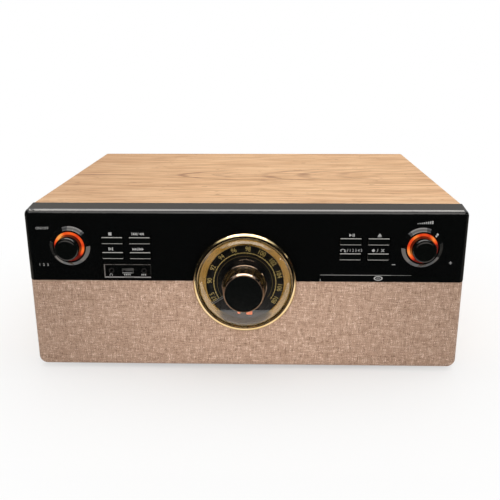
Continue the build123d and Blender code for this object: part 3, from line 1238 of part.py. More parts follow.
def power_rocker():
    """The rocker on its pin, tilted to its off position."""
    half_x, half_z = ROCKER_HALF
    profile = [(4.4, -half_z), (3.2, 0), (4.4, half_z), (-2.0, half_z - 1.4), (-3.4, 0), (-2.0, -half_z + 1.4)]
    face = Plane.YZ * make_face(Polyline(*profile, close=True))
    solid = Pos(-half_x, 0, 0) * extrude(face, 2 * half_x)
    solid = solid - rod(1.2 + RUNNING_FIT, (-10, 0, 0), (10, 0, 0))
    return Pos(rocker_x, back - 2, socket_z) * Rot(-ROCKER_TILT, 0, 0) * solid


def line_sockets():
    """Two phono sockets on one plate."""
    width, height = LINE_BODY
    solid = block((LINE_X - width / 2, LINE_X + width / 2), (back - SOCKET_DEPTH, back),
                  (socket_z - height / 2, socket_z + height / 2))
    solid = solid + block((LINE_X - width / 2 - 3, LINE_X + width / 2 + 3), (back, back + 1.2),
                          (socket_z - height / 2 - 3, socket_z + height / 2 + 3))
    for x in (LINE_X - LINE_SPREAD / 2, LINE_X + LINE_SPREAD / 2):
        solid = solid + rod(4.1, (x, back, socket_z), (x, back + REAR_PROJECTION, socket_z))
        solid = solid - rod(1.7, (x, back - 6, socket_z), (x, back + REAR_PROJECTION + 1, socket_z))
    return solid


def aerial_socket():
    solid = rod(AERIAL_RADIUS, (AERIAL_X, back - SOCKET_DEPTH, socket_z), (AERIAL_X, back, socket_z))
    solid = solid + rod(AERIAL_RADIUS + 2.5, (AERIAL_X, back, socket_z), (AERIAL_X, back + 1.2, socket_z))
    solid = solid + rod(4.7, (AERIAL_X, back, socket_z), (AERIAL_X, back + REAR_PROJECTION - 1, socket_z))
    return solid - rod(3.6, (AERIAL_X, back - 8, socket_z), (AERIAL_X, back + REAR_PROJECTION, socket_z))


parts["circuit_boards"] = group(circuit_boards())
parts["rear_sockets"] = group([mains_inlet(), rocker_frame(), line_sockets(), aerial_socket()])
parts["power_rocker"] = power_rocker()

# ---------------------------------------------------------------- one file per node
os.makedirs("parts", exist_ok=True)
for name, shape in parts.items():
    export_step(shape, f"parts/{name}.step")
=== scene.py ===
# %% [markdown]
# # A table-top music centre
# The cabinet is oak, with a gloss black front, a round gold tuning dial and speakers behind linen.
# The CAD frame gives every rigid piece its place. This script gives them their finishes and models what
# the frame leaves plain: the cloth, the ribbed ring of the dial, the printing, the knobs and the keys.

# %% Load the frame
import bpy
import bmesh
import json
import math
from mathutils import Matrix, Vector


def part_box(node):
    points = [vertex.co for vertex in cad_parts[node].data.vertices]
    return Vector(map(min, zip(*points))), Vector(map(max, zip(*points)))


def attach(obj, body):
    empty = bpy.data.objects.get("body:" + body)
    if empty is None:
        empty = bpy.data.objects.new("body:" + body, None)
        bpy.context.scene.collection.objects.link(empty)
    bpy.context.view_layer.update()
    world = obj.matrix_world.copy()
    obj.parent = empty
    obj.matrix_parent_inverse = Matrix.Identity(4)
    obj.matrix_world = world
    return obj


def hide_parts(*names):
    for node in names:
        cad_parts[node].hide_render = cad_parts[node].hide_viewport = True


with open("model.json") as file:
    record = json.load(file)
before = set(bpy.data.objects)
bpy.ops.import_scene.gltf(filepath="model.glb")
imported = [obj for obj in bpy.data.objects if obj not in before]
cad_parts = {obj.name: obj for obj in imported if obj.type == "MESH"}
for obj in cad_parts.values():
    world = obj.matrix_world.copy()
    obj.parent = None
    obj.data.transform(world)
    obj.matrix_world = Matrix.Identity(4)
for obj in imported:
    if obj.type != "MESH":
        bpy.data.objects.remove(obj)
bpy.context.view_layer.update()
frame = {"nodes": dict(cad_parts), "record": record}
nodes = frame["nodes"]
MM = 0.001

# %% Lines of the front, read from the frame
fascia_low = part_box("front_fascia")[0]
FRONT = fascia_low.y
DIAL_Z = fascia_low.z
knob_low, knob_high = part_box("volume_knob")
KNOB_X = (knob_low.x + knob_high.x) / 2
KNOB_Z = (knob_low.z + knob_high.z) / 2
print("front", round(FRONT, 4), "dial at", round(DIAL_Z, 4), "knob at", round(KNOB_X, 4), round(KNOB_Z, 4))

# %% [markdown]
# ## The camera
# The camera is close, a little right of the middle, and looks down at the front. A short distance gives the
# lid its strong perspective. The direction is built from three angles, so each one can be read and changed by
# itself.

# %% Camera
def look(yaw, pitch, roll):
    """The camera's turn from its three angles in degrees: yaw to the left, pitch down, roll."""
    yaw, pitch, roll = (math.radians(angle) for angle in (yaw, pitch, roll))
    ahead = Vector((-math.sin(yaw) * math.cos(pitch), math.cos(yaw) * math.cos(pitch), -math.sin(pitch)))
    right = Vector((math.cos(yaw), math.sin(yaw), 0))
    up = right.cross(ahead)
    side = right * math.cos(roll) + up * math.sin(roll)
    top = -right * math.sin(roll) + up * math.cos(roll)
    return Matrix((side, top, -ahead)).transposed()

bpy.ops.object.select_all(action="DESELECT")
bpy.ops.object.camera_add(location=(0.0262, -0.8686, 0.3587))
camera = bpy.context.object
camera.name = "camera"
camera.rotation_mode = "QUATERNION"
camera.rotation_quaternion = look(1.696, 17.218, -0.204).to_quaternion()
camera.data.sensor_width = 36
camera.data.lens = 47.62
camera.data.clip_start = 0.01
bpy.context.scene.camera = camera
print("camera", [round(v, 3) for v in camera.location])

# %% [markdown]
# ## Node helpers
# A finish is a small graph around one Principled shader. Values that are the same all over sit on the
# shader's own sockets; only what varies over the surface comes through nodes. Colours are written as the
# hex values a painter would mix by, and turned to the linear values that the renderer adds up with.

# %% Colour and node helpers
def paint(code):
    """A hex colour as linear RGBA."""
    channels = [int(code[i:i + 2], 16) / 255 for i in (0, 2, 4)]
    return [c / 12.92 if c < 0.04045 else ((c + 0.055) / 1.055) ** 2.4 for c in channels] + [1.0]

def add(tree, kind, inputs=None, **settings):
    """Adds a node; an input is a value, or the socket that feeds it."""
    node = tree.nodes.new(kind)
    for name, value in settings.items():
        setattr(node, name, value)
    for name, value in (inputs or {}).items():
        if isinstance(value, bpy.types.NodeSocket):
            tree.links.new(value, node.inputs[name])
        else:
            node.inputs[name].default_value = value
    return node

def finish(name, colour, roughness, **values):
    """A material with its even values set on the shader."""
    made = bpy.data.materials.new(name)
    made.use_nodes = True
    shader = made.node_tree.nodes["Principled BSDF"]
    shader.inputs["Base Color"].default_value = paint(colour)
    shader.inputs["Roughness"].default_value = roughness
    for key, value in values.items():
        shader.inputs[key.replace("_", " ")].default_value = value
    return made, made.node_tree, shader

def ramp(tree, source, stops):
    """A colour ramp from a list of (place, hex colour)."""
    node = add(tree, "ShaderNodeValToRGB", {"Fac": source})
    band = node.color_ramp
    while len(band.elements) < len(stops):
        band.elements.new(0.5)
    for element, (place, code) in zip(band.elements, stops):
        element.position = place
        element.color = paint(code)
    return node.outputs["Color"]

def scaled(tree, source, scale, location=(0, 0, 0), turn=(0, 0, 0)):
    """Coordinates moved, turned and stretched."""
    return add(tree, "ShaderNodeMapping", {"Vector": source, "Scale": scale, "Location": location,
                                           "Rotation": turn}).outputs["Vector"]

def noise(tree, vector, scale, detail=4.0, roughness=0.55):
    return add(tree, "ShaderNodeTexNoise", {"Vector": vector, "Scale": scale, "Detail": detail,
                                            "Roughness": roughness}).outputs["Fac"]

def fit(tree, source, low, high, to_low, to_high):
    """Maps a range of values to another, and stays inside it."""
    return add(tree, "ShaderNodeMapRange", {"Value": source, "From Min": low, "From Max": high,
                                            "To Min": to_low, "To Max": to_high}).outputs["Result"]

def math_node(tree, operation, first, second=0.0):
    node = tree.nodes.new("ShaderNodeMath")
    node.operation = operation
    for socket, value in zip(node.inputs, (first, second)):
        if isinstance(value, bpy.types.NodeSocket):
            tree.links.new(value, socket)
        else:
            socket.default_value = value
    return node.outputs["Value"]

def blend_colour(tree, share, first, second, mode="MIX"):
    node = add(tree, "ShaderNodeMix", data_type="RGBA", blend_type=mode)
    for index, value in ((0, share), (6, first), (7, second)):
        if isinstance(value, bpy.types.NodeSocket):
            tree.links.new(value, node.inputs[index])
        else:
            node.inputs[index].default_value = value
    return node.outputs[2]

def relief(tree, shader, height, depth, strength=1.0):
    """A bump of that depth in metres."""
    bump = add(tree, "ShaderNodeBump", {"Height": height, "Distance": depth, "Strength": strength})
    tree.links.new(bump.outputs["Normal"], shader.inputs["Normal"])

def place(tree):
    """Object coordinates, which are metres in the frame."""
    return add(tree, "ShaderNodeTexCoord").outputs["Object"]

def wear(made, shader, scale, low, high, depth=0.0):
    """Uneven roughness, and a faint relief where a depth is given."""
    tree = made.node_tree
    spots = noise(tree, place(tree), scale)
    tree.links.new(fit(tree, spots, 0.3, 0.7, low, high), shader.inputs["Roughness"])
    if depth:
        relief(tree, shader, spots, depth)

# %% [markdown]
# ## The stage
# Gloss black and gold show what stands round them more than their own colour. A photographer sets a white
# table, a big soft box overhead and black cards in front, so the black front stays black. The same is
# done here. The table is a real matt surface near the music centre, where it takes the shadow, and turns
# to plain white further out. The cards can be seen in reflections alone, so they give no light.

# %% Colour handling
bpy.context.scene.view_settings.view_transform = "Standard"

# %% Table
def glow(name, colour, strength):
    """A material that only shines."""
    made = bpy.data.materials.new(name)
    made.use_nodes = True
    tree = made.node_tree
    tree.nodes.clear()
    light = add(tree, "ShaderNodeEmission", {"Color": paint(colour), "Strength": strength})
    out = add(tree, "ShaderNodeOutputMaterial")
    tree.links.new(light.outputs[0], out.inputs["Surface"])
    return made

def camera_rays(tree):
    """1 for the rays that see the background: straight, mirrored, or through something clear."""
    rays = add(tree, "ShaderNodeLightPath").outputs
    seen = math_node(tree, "MAXIMUM", rays["Is Camera Ray"], rays["Is Glossy Ray"])
    return math_node(tree, "MAXIMUM", seen, rays["Is Transmission Ray"])

TABLE_FADE = (0.2, 0.52)      # metres from the middle where the table turns to plain white

table_top, tree, shader = finish("table_white", "f4f3f1", 0.9, Specular_IOR_Level=0.2)
away = add(tree, "ShaderNodeVectorMath", {0: place(tree)}, operation="LENGTH").outputs["Value"]
far = fit(tree, away, *TABLE_FADE, 0.5, 1.0)
white = add(tree, "ShaderNodeEmission", {"Color": (1, 1, 1, 1), "Strength": 1.0})
mix = add(tree, "ShaderNodeMixShader", {0: math_node(tree, "MULTIPLY", far, camera_rays(tree))})
tree.links.new(shader.outputs[0], mix.inputs[1])
tree.links.new(white.outputs[0], mix.inputs[2])
tree.links.new(mix.outputs[0], tree.nodes["Material Output"].inputs["Surface"])

bpy.ops.mesh.primitive_plane_add(size=14)
table = bpy.context.object
table.name = "table"
table.data.materials.append(table_top)

# %% World
world = bpy.data.worlds.new("studio")
bpy.context.scene.world = world
world.use_nodes = True
tree = world.node_tree
tree.nodes.clear()
level = fit(tree, camera_rays(tree), 0.0, 1.0, 0.42, 1.0)
back = add(tree, "ShaderNodeBackground", {"Color": (1, 1, 1, 1), "Strength": level})
tree.links.new(back.outputs[0], add(tree, "ShaderNodeOutputWorld").inputs["Surface"])

# %% Lamps
def sun(name, turn, strength, size):
    """A broad even light; its angle is the sky it covers."""
    bpy.ops.object.light_add(type="SUN", rotation=[math.radians(t) for t in turn])
    lamp = bpy.context.object
    lamp.name = name
    lamp.data.energy = strength
    lamp.data.angle = math.radians(size)
    lamp.visible_glossy = False
    return lamp

sun("overhead_light", (-12, 8, 0), 1.45, 70)
sun("front_light", (58, 2, 0), 0.78, 60)
bpy.ops.object.light_add(type="SPOT", location=(0.01, -0.66, 0.12), rotation=(math.radians(88), 0, 0))
front_spot = bpy.context.object
front_spot.name = "front_spot"
front_spot.data.energy = 5.0
front_spot.data.shadow_soft_size = 0.12
front_spot.data.spot_size = math.radians(62)
front_spot.data.spot_blend = 1.0
front_spot.visible_glossy = False
lit_by_spot = bpy.data.collections.new("lit_by_spot")
front_spot.light_linking.receiver_collection = lit_by_spot

# %% Cards and soft boxes, seen in reflections alone
def card(name, centre, size, turn, colour, strength):
    bpy.ops.mesh.primitive_plane_add(size=1, location=centre, rotation=[math.radians(t) for t in turn])
    made = bpy.context.object
    made.name = name
    made.scale = (size[0], size[1], 1)
    made.data.materials.append(glow(name, colour, strength))
    made.visible_camera = made.visible_diffuse = made.visible_shadow = False
    made.visible_volume_scatter = False

card("black_card_table", (0, -1.688, 0.003), (3.6, 2.626), (0, 0, 0), "000000", 0.0)
card("black_card_front", (0, -3.0, 1.3), (5.0, 2.6), (90, 0, 0), "000000", 0.0)
card("near_table", (0, -0.285, 0.002), (1.3, 0.17), (0, 0, 0), "fff4ea", 1.35)
card("grey_card_left", (-0.98, 0.1, 0.003), (1.2, 0.95), (0, 0, 0), "706c66", 1.0)
card("grey_card_right", (0.98, 0.1, 0.003), (1.2, 0.95), (0, 0, 0), "706c66", 1.0)
card("black_card_left", (-1.7, -1.3, 0.9), (3.6, 1.8), (90, 0, 90), "1c1c1c", 1.0)
card("black_card_right", (1.7, -1.3, 0.9), (3.6, 1.8), (90, 0, 90), "1c1c1c", 1.0)
card("lamp_left", (-0.186, -0.738, 0.968), (0.06, 0.05), (34, 0, 0), "fff8f0", 5.0)
card("lamp_right", (1.07, -0.45, 0.52), (0.1, 0.1), (70, 0, 75), "fff8f0", 5.0)
card("grey_card_back", (0, 2.4, 0.75), (6.0, 1.5), (90, 0, 0), "999590", 1.0)
card("soft_box_top", (0.03, 0.36, 1.39), (1.5, 1.08), (0, 0, 6), "fffaf4", 8.0)
card("soft_box_front", (0.05, -0.93, 1.39), (1.6, 0.85), (0, 0, 0), "fffaf4", 2.6)

# %% [markdown]
# ## Oak
# The lid and the side panels are boards with a plain-sawn oak face: straight fine grain along the board, a
# few darker bands, and one long pointed figure where the saw met the rings flat on. An image of wood would
# repeat and stretch, so the grain is built from noise that is stretched along the board. The figure comes
# from the distance behind a curved tip, which gives nested pointed loops when it is cut into bands.

# %% Oak
LOOP_STEP = 52 * MM

def oak(name, turn, tip, middle, shade):
    """Oak with its grain along x before the turn. The pointed loops start at tip and run along middle; shade
    sets a painted shade that darkens the left end.
    """
    made, tree, shader = finish(name, "cda27a", 0.55, Specular_IOR_Level=0.35)
    flat = scaled(tree, place(tree), (1, 1, 1), (0, 0, 0), (0, 0, math.radians(turn)))
    parts = add(tree, "ShaderNodeSeparateXYZ", {0: flat}).outputs
    bands = noise(tree, scaled(tree, flat, (5, 70, 70)), 1.0, 4)
    broad = noise(tree, scaled(tree, flat, (2.4, 21, 21), (0.4, 0, 0)), 1.0, 3)
    streak = noise(tree, scaled(tree, flat, (17, 260, 260), (3.1, 0, 0)), 1.0, 4, 0.6)
    plain = noise(tree, scaled(tree, flat, (14, 220, 220), (5.3, 0, 0)), 1.0, 4, 0.65)
    fibre = noise(tree, scaled(tree, flat, (40, 1500, 1500)), 1.0, 4, 0.65)
    pore = noise(tree, scaled(tree, flat, (90, 2400, 2400), (0.7, 0, 0)), 1.0, 2)
    fleck = noise(tree, scaled(tree, flat, (70, 120, 120), (1.9, 0, 0)), 1.0, 2)

    wobble = noise(tree, scaled(tree, flat, (11, 60, 60), (1.3, 0, 0)), 1.0, 3)
    shift = fit(tree, wobble, 0.3, 0.7, -0.011, 0.011)
    across = math_node(tree, "ADD", parts["Y"], math_node(tree, "MULTIPLY", shift, 0.35))
    apart = math_node(tree, "ABSOLUTE", math_node(tree, "SUBTRACT", across, middle))
    ahead = math_node(tree, "SUBTRACT", parts["X"], tip)
    bow = math_node(tree, "MULTIPLY", math_node(tree, "POWER", apart, 1.6), 13.0)
    level = math_node(tree, "ADD", math_node(tree, "SUBTRACT", ahead, bow), shift)
    wave = math_node(tree, "SINE", math_node(tree, "MULTIPLY", level, 2 * math.pi / LOOP_STEP))
    inside = math_node(tree, "MULTIPLY", fit(tree, level, -0.012, 0.004, 0.0, 1.0),
                       fit(tree, level, 0.1, 0.34, 1.0, 0.15))
    loops = math_node(tree, "MULTIPLY", fit(tree, wave, 0.35, 1.0, 0.0, 1.0), inside)
    loops = math_node(tree, "MULTIPLY", loops, fit(tree, apart, 0.03, 0.055, 1.0, 0.0))
    line = math_node(tree, "MULTIPLY", fit(tree, apart, 0.001, 0.006, 1.0, 0.0),
                     fit(tree, ahead, -0.02, 0.02, 1.0, 0.0))
    broken = fit(tree, noise(tree, scaled(tree, flat, (16, 5, 5), (7.7, 0, 0)), 1.0, 2), 0.4, 0.6, 0.15, 1.0)
    figure = math_node(tree, "MULTIPLY", math_node(tree, "MAXIMUM", loops, line), broken)

    tone = ramp(tree, bands, [(0.3, "c08e5e"), (0.43, "d7a574"), (0.56, "e9b987"), (0.72, "d49f6f")])
    tone = blend_colour(tree, fit(tree, broad, 0.36, 0.64, 0.0, 0.6), tone, paint("eebf8e"))
    tone = blend_colour(tree, fit(tree, plain, 0.5, 0.66, 0.0, 0.85), tone, paint("b5824f"))
    tone = blend_colour(tree, fit(tree, plain, 0.47, 0.34, 0.0, 0.8), tone, paint("f6cd9e"))
    tone = blend_colour(tree, fit(tree, streak, 0.5, 0.7, 0.0, 0.75), tone, paint("b17f52"))
    tone = blend_colour(tree, fit(tree, streak, 0.46, 0.3, 0.0, 0.6), tone, paint("f2c798"))
    tone = blend_colour(tree, fit(tree, fibre, 0.52, 0.8, 0.0, 0.35), tone, paint("bb8a59"))
    tone = blend_colour(tree, fit(tree, fleck, 0.66, 0.74, 0.0, 0.6), tone, paint("9a6a3e"))
    tone = blend_colour(tree, math_node(tree, "MULTIPLY", figure, 0.8), tone, paint("8f5d36"))
    tone = blend_colour(tree, fit(tree, pore, 0.68, 0.78, 0.0, 0.4), tone, paint("a06f45"))
    # Painted shade: the board is darkened towards its left end, where less light falls.
    painted_left_shade = fit(tree, parts["X"], -0.24, -0.05, shade, 0.0)
    tone = blend_colour(tree, painted_left_shade, tone, paint("8f603a"))
    tree.links.new(tone, shader.inputs["Base Color"])
    tree.links.new(fit(tree, fibre, 0.3, 0.8, 0.45, 0.62), shader.inputs["Roughness"])
    relief(tree, shader, math_node(tree, "ADD", fibre, pore), 0.0001, 0.5)
    return made

lid_oak = oak("oak_lid", 0, -0.105, 0.026, 0.27)
side_oak = oak("oak_side", 90, -0.02, 0.06, 0.0)
print("oak", lid_oak.name, side_oak.name)

# %% [markdown]
# ## Gloss black, satin black and printed marks
# The front is a moulding with a piano finish: nearly black, very smooth, with a little dust and a few
# hairline scuffs from wiping. The roughness carries that, since a black surface shows only its gloss.

# %% Blacks
COLLAR_INNER = 18.2 * MM
COLLAR_OUTER = 22.6 * MM
PORT_RIGHT = -100 * MM
PORT_TOP = 131 * MM

def gloss(name, colour):
    """Piano black. An extra clear coat is laid on the knobs' collars, thinner on their upper middle, and on the
    edges of the port recess: a painted reflection, placed where the light shows gloss.
    """
    made, tree, shader = finish(name, colour, 0.05, IOR=1.5, Coat_IOR=1.65, Coat_Roughness=0.04)
    where = place(tree)
    spots = add(tree, "ShaderNodeSeparateXYZ", {0: where}).outputs
    from_knob = add(tree, "ShaderNodeCombineXYZ", {
        0: math_node(tree, "SUBTRACT", math_node(tree, "ABSOLUTE", spots["X"]), KNOB_X),
        2: math_node(tree, "SUBTRACT", spots["Z"], KNOB_Z)}).outputs[0]
    reach = add(tree, "ShaderNodeVectorMath", {0: from_knob}, operation="LENGTH").outputs["Value"]
    collar_sheen = math_node(tree, "MULTIPLY", fit(tree, reach, COLLAR_INNER, COLLAR_INNER + 0.5 * MM, 0.0, 1.0),
                       fit(tree, reach, COLLAR_OUTER - 0.4 * MM, COLLAR_OUTER, 1.0, 0.0))
    inner = fit(tree, reach, COLLAR_INNER + 0.7 * MM, COLLAR_INNER + 1.3 * MM, 0.0, 1.0)
    outer = fit(tree, reach, COLLAR_OUTER - 1.7 * MM, COLLAR_OUTER - 1.1 * MM, 1.0, 0.0)
    # Painted reflection: the coat is cut back on the upper middle of each collar, so its top stays dark.
    upper_sheen_cut = fit(tree, spots["Z"], KNOB_Z, KNOB_Z + 3 * MM, 0.0, 0.85)
    middle = math_node(tree, "MULTIPLY", math_node(tree, "MULTIPLY", inner, outer), upper_sheen_cut)
    collar_sheen = math_node(tree, "MULTIPLY", collar_sheen, math_node(tree, "SUBTRACT", 1.0, middle))
    recess = math_node(tree, "MULTIPLY", fit(tree, spots["X"], PORT_RIGHT, PORT_RIGHT - 1 * MM, 0.0, 1.0),
                       fit(tree, spots["Z"], PORT_TOP, PORT_TOP - 1 * MM, 0.0, 1.0))
    tree.links.new(math_node(tree, "MAXIMUM", collar_sheen, recess), shader.inputs["Coat Weight"])
    haze = noise(tree, where, 22, 3)
    dust = noise(tree, where, 2600, 1)
    rough = math_node(tree, "ADD", fit(tree, haze, 0.35, 0.75, 0.025, 0.06),
                      fit(tree, dust, 0.74, 0.8, 0.0, 0.3))
    tree.links.new(rough, shader.inputs["Roughness"])
    relief(tree, shader, noise(tree, where, 9, 2), 0.00006, 0.35)
    return made

gloss_black = gloss("gloss_black", "0a0b0b")
knob_black = gloss("knob_gloss", "0b0d0c")

def satin(name, colour, rough, grain=900):
    made, _, shader = finish(name, colour, rough)
    wear(made, shader, grain, rough - 0.08, rough + 0.1, 0.00004)
    return made

satin_black = satin("satin_black", "131314", 0.42)
board_black = satin("board_black", "1a1918", 0.7, 300)
dial_black = satin("dial_black", "08090a", 0.3)
cap_black = satin("cap_black", "0b0e0d", 0.18)
rubber = satin("rubber", "1b1b1b", 0.8)
paper = satin("paper_cone", "2a2724", 0.9)
cartridge_red = satin("cartridge_plastic", "8e1f18", 0.35)
circuit = satin("circuit_board", "1f4a2c", 0.5, 240)

def ink(name, colour, painted_glow=0.0):
    """Screen printing: opaque, a little rough, with pinholes in its colour; the dial's print has a faint
    painted glow that brightens it.
    """
    made, tree, shader = finish(name, colour, 0.55, Emission_Color=paint(colour), Emission_Strength=painted_glow)
    thin = noise(tree, place(tree), 3000, 2)
    dark = [c * 0.55 for c in paint(colour)[:3]] + [1.0]
    worn = blend_colour(tree, fit(tree, thin, 0.6, 0.75, 0.0, 0.6), paint(colour), dark)
    tree.links.new(worn, shader.inputs["Base Color"])
    return made

white_ink = ink("white_print", "b4b4b2")
gold_ink = ink("gold_print", "ecd07c", 0.16)
dim_ink = ink("dim_print", "7d6a3a")

# %% [markdown]
# ## Metals
# The dial's ring is gold-coloured plating on a turned part: bright, with very fine turning lines round its
# axis. The lines come from noise on the distance to the axis, so they run round the ring on every surface.

# %% Metals
TURNING_LINES = 5200          # to the metre

def metal(name, colour, rough, centre=None, lines=0.25, depth=0.00002, tint=None):
    """Plated or bare metal; round a centre (x, z) it shows turning lines."""
    made, tree, shader = finish(name, colour, rough, Metallic=1.0)
    where = place(tree)
    smudge = noise(tree, where, 60, 4)
    value = fit(tree, smudge, 0.3, 0.7, rough * 0.75, rough * 1.35)
    if centre:
        flat = scaled(tree, where, (1, 0, 1), (-centre[0], 0, -centre[1]))
        radius = add(tree, "ShaderNodeVectorMath", {0: flat}, operation="LENGTH").outputs["Value"]
        turning = math_node(tree, "MULTIPLY", radius, TURNING_LINES)
        cut = add(tree, "ShaderNodeTexNoise", {"W": turning, "Scale": 1.0, "Detail": 2.0},
                  noise_dimensions="1D").outputs["Fac"]
        value = math_node(tree, "ADD", value, fit(tree, cut, 0.3, 0.7, -rough * lines, rough * lines))
        relief(tree, shader, cut, depth, 0.3)
    else:
        relief(tree, shader, noise(tree, where, 1400, 2), depth, 0.3)
    if tint:
        toned = blend_colour(tree, fit(tree, smudge, 0.35, 0.7, 0.0, 1.0), paint(colour), paint(tint))
        tree.links.new(toned, shader.inputs["Base Color"])
    tree.links.new(value, shader.inputs["Roughness"])
    return made

dial_axis = (0.0, DIAL_Z)
gold = metal("gold_plate", "e3cfa6", 0.15, dial_axis, tint="d8bf8c")
rib_gold = metal("gold_ribs", "d8b678", 0.16, tint="c6a052")
knob_gold = metal("gold_chrome", "94816f", 0.12, dial_axis, tint="7f6e5e")
steel = metal("steel", "b9bbbd", 0.3)
aluminium = metal("aluminium", "c9cacb", 0.28)
brass = metal("brass", "c9a452", 0.25)
# Light grey paint, not metal: the keys' silver trims with a painted highlight, as if lit from above.
silver_trim_highlight = satin("silver_edge_highlight", "b9b7b2", 0.4)
print("metals", [m.name for m in (gold, rib_gold, knob_gold, steel, aluminium, brass, silver_trim_highlight)])

# %% [markdown]
# ## Clear plastic and amber light
# The lens and the pointer are clear acrylic. The light rings are clear tubes with small amber lamps behind
# them, so each ring has hot spots and fades to deep red between them. The glow follows the angle round
# the knob, which comes from an arc tangent of the two distances to the knob's axis.
# The lens reflects less outside the dial plate, so the ribbed ring shows through it.

# %% Clear and glowing plastics
CALM_FROM = 41.5 * MM
CALM_TO = 43.5 * MM

lens_clear, tree, shader = finish("clear_plastic", "ffffff", 0.0, IOR=1.55, Transmission_Weight=1.0)
wear(lens_clear, shader, 40, 0.0, 0.004)
from_axis = scaled(tree, place(tree), (1, 0, 1), (0, 0, -DIAL_Z))
reach = add(tree, "ShaderNodeVectorMath", {0: from_axis}, operation="LENGTH").outputs["Value"]
tree.links.new(fit(tree, reach, CALM_FROM, CALM_TO, 0.9, 0.06), shader.inputs["Specular IOR Level"])

def amber(name, spots):
    """The glow round both knobs. A spot is its side, angle clockwise from the top, half width and heat."""
    made, tree, shader = finish(name, "4a1006", 0.25)
    parts = add(tree, "ShaderNodeSeparateXYZ", {0: place(tree)}).outputs
    side = math_node(tree, "SIGN", parts["X"])
    across = math_node(tree, "SUBTRACT", parts["X"], math_node(tree, "MULTIPLY", side, KNOB_X))
    angle = math_node(tree, "ARCTAN2", across, math_node(tree, "SUBTRACT", parts["Z"], KNOB_Z))
    grain = noise(tree, place(tree), 260, 2)
    heat = fit(tree, grain, 0.3, 0.7, 0.1, 0.26)
    for which, middle, width, peak in spots:
        apart = math_node(tree, "COSINE", math_node(tree, "SUBTRACT", angle, math.radians(middle)))
        spot = fit(tree, apart, math.cos(math.radians(width)), 1.0, 0.0, peak)
        here = fit(tree, math_node(tree, "MULTIPLY", side, float(which)), 0.0, 0.5, 0.0, 1.0)
        heat = math_node(tree, "MAXIMUM", heat, math_node(tree, "MULTIPLY", spot, here))
    colour = ramp(tree, heat, [(0.1, "180403"), (0.3, "8e1d0e"), (0.55, "dc3c1a"), (0.82, "ff6a26"),
                               (1.0, "ffa850")])
    tree.links.new(colour, shader.inputs["Emission Color"])
    shader.inputs["Emission Strength"].default_value = 0.9
    return made

GLOW_SPOTS = [(-1, -42, 50, 1.0), (-1, 10, 60, 0.75), (-1, 62, 60, 0.66), (-1, 104, 32, 0.85),
              (1, 46, 34, 0.92), (1, -34, 34, 0.9), (1, 4, 50, 0.62), (1, -108, 48, 0.95), (1, -60, 60, 0.6)]
amber_light = amber("amber_light", GLOW_SPOTS)

# %% [markdown]
# ## Finishes for the carried-over pieces
# Each CAD node keeps its shape and takes the finish of its slot. Two nodes of one slot can differ here: the
# lid's grain runs across the cabinet, and that of the side panels from front to back.

# %% Finish of each slot
felt, tree, shader = finish("felt", "2b2c2e", 0.95, Sheen_Weight=0.4)
fuzz = noise(tree, place(tree), 1800, 3)
tree.links.new(ramp(tree, fuzz, [(0.35, "202123"), (0.65, "37383a")]), shader.inputs["Base Color"])
relief(tree, shader, fuzz, 0.0003, 0.6)

slots = {"oak": side_oak, "black_board": board_black, "gloss_black": gloss_black, "gold": gold,
         "printed_black": dial_black, "clear_plastic": lens_clear, "amber_light": amber_light,
         "satin_black": satin_black, "steel": steel, "aluminium": aluminium, "brass": brass,
         "cartridge_plastic": cartridge_red, "felt": felt, "rubber": rubber, "paper_cone": paper,
         "circuit_board": circuit}
special = {"lid": lid_oak, "tuning_knob": knob_gold, "dial_reflector": rib_gold, "tuning_knob_cap": cap_black}
record_slots = {part["node"]: part["material_slot"] for part in frame["record"]["subparts"]}

for name, node in nodes.items():
    made = special.get(name) or slots.get(record_slots[name])
    if made:
        for held in node.material_slots:
            held.material = made
print("finished", len(nodes), "nodes")

# %% [markdown]
# ## Modelling helpers
# The new pieces are modelled as by hand: a primitive, edit mode, and modifiers that are applied. The helpers
# keep the few steps that every piece shares: starting clean, picking points by place, and cleaning the mesh.

# %% Modelling helpers
def fresh():
    if bpy.context.mode != "OBJECT":
        bpy.ops.object.mode_set(mode="OBJECT")
    bpy.ops.object.select_all(action="DESELECT")

def only(obj):
    """Makes it the one selected object."""
    fresh()
    obj.select_set(True)
    bpy.context.view_layer.objects.active = obj
    return obj

def named(name, made=None):
    obj = bpy.context.object
    obj.name = name
    obj.data.name = name
    if made:
        obj.data.materials.append(made)
    return obj

def settle(obj):
    """Puts its place into the mesh."""
    only(obj)
    bpy.ops.object.transform_apply(location=True, rotation=True, scale=True)
    return obj

def pick(obj, kind, test):
    """Edit mode with the vertices, edges or faces chosen whose middle passes the test."""
    only(obj)
    bpy.ops.object.mode_set(mode="EDIT")
    bpy.ops.mesh.select_mode(type=kind)
    bpy.ops.mesh.select_all(action="DESELECT")
    shape = bmesh.from_edit_mesh(obj.data)
    items = {"VERT": shape.verts, "EDGE": shape.edges, "FACE": shape.faces}[kind]
    count = 0
    for item in items:
        if kind == "VERT":
            chosen = test(item.co)
        elif kind == "EDGE":
            chosen = test(item.verts[0].co, item.verts[1].co)
        else:
            chosen = test(item.calc_center_median(), item.normal)
        if chosen:
            item.select_set(True)
            count += 1
    shape.select_flush_mode()
    bmesh.update_edit_mesh(obj.data)
    return count

def done(obj, smooth=35):
    """Leaves edit mode with clean outward faces, shaded smooth up to that angle."""
    only(obj)
    bpy.ops.object.mode_set(mode="EDIT")
    bpy.ops.mesh.select_all(action="SELECT")
    bpy.ops.mesh.remove_doubles(threshold=0.000002)
    bpy.ops.mesh.normals_make_consistent(inside=False)
    bpy.ops.object.mode_set(mode="OBJECT")
    bpy.ops.object.shade_smooth_by_angle(angle=math.radians(smooth))
    return obj

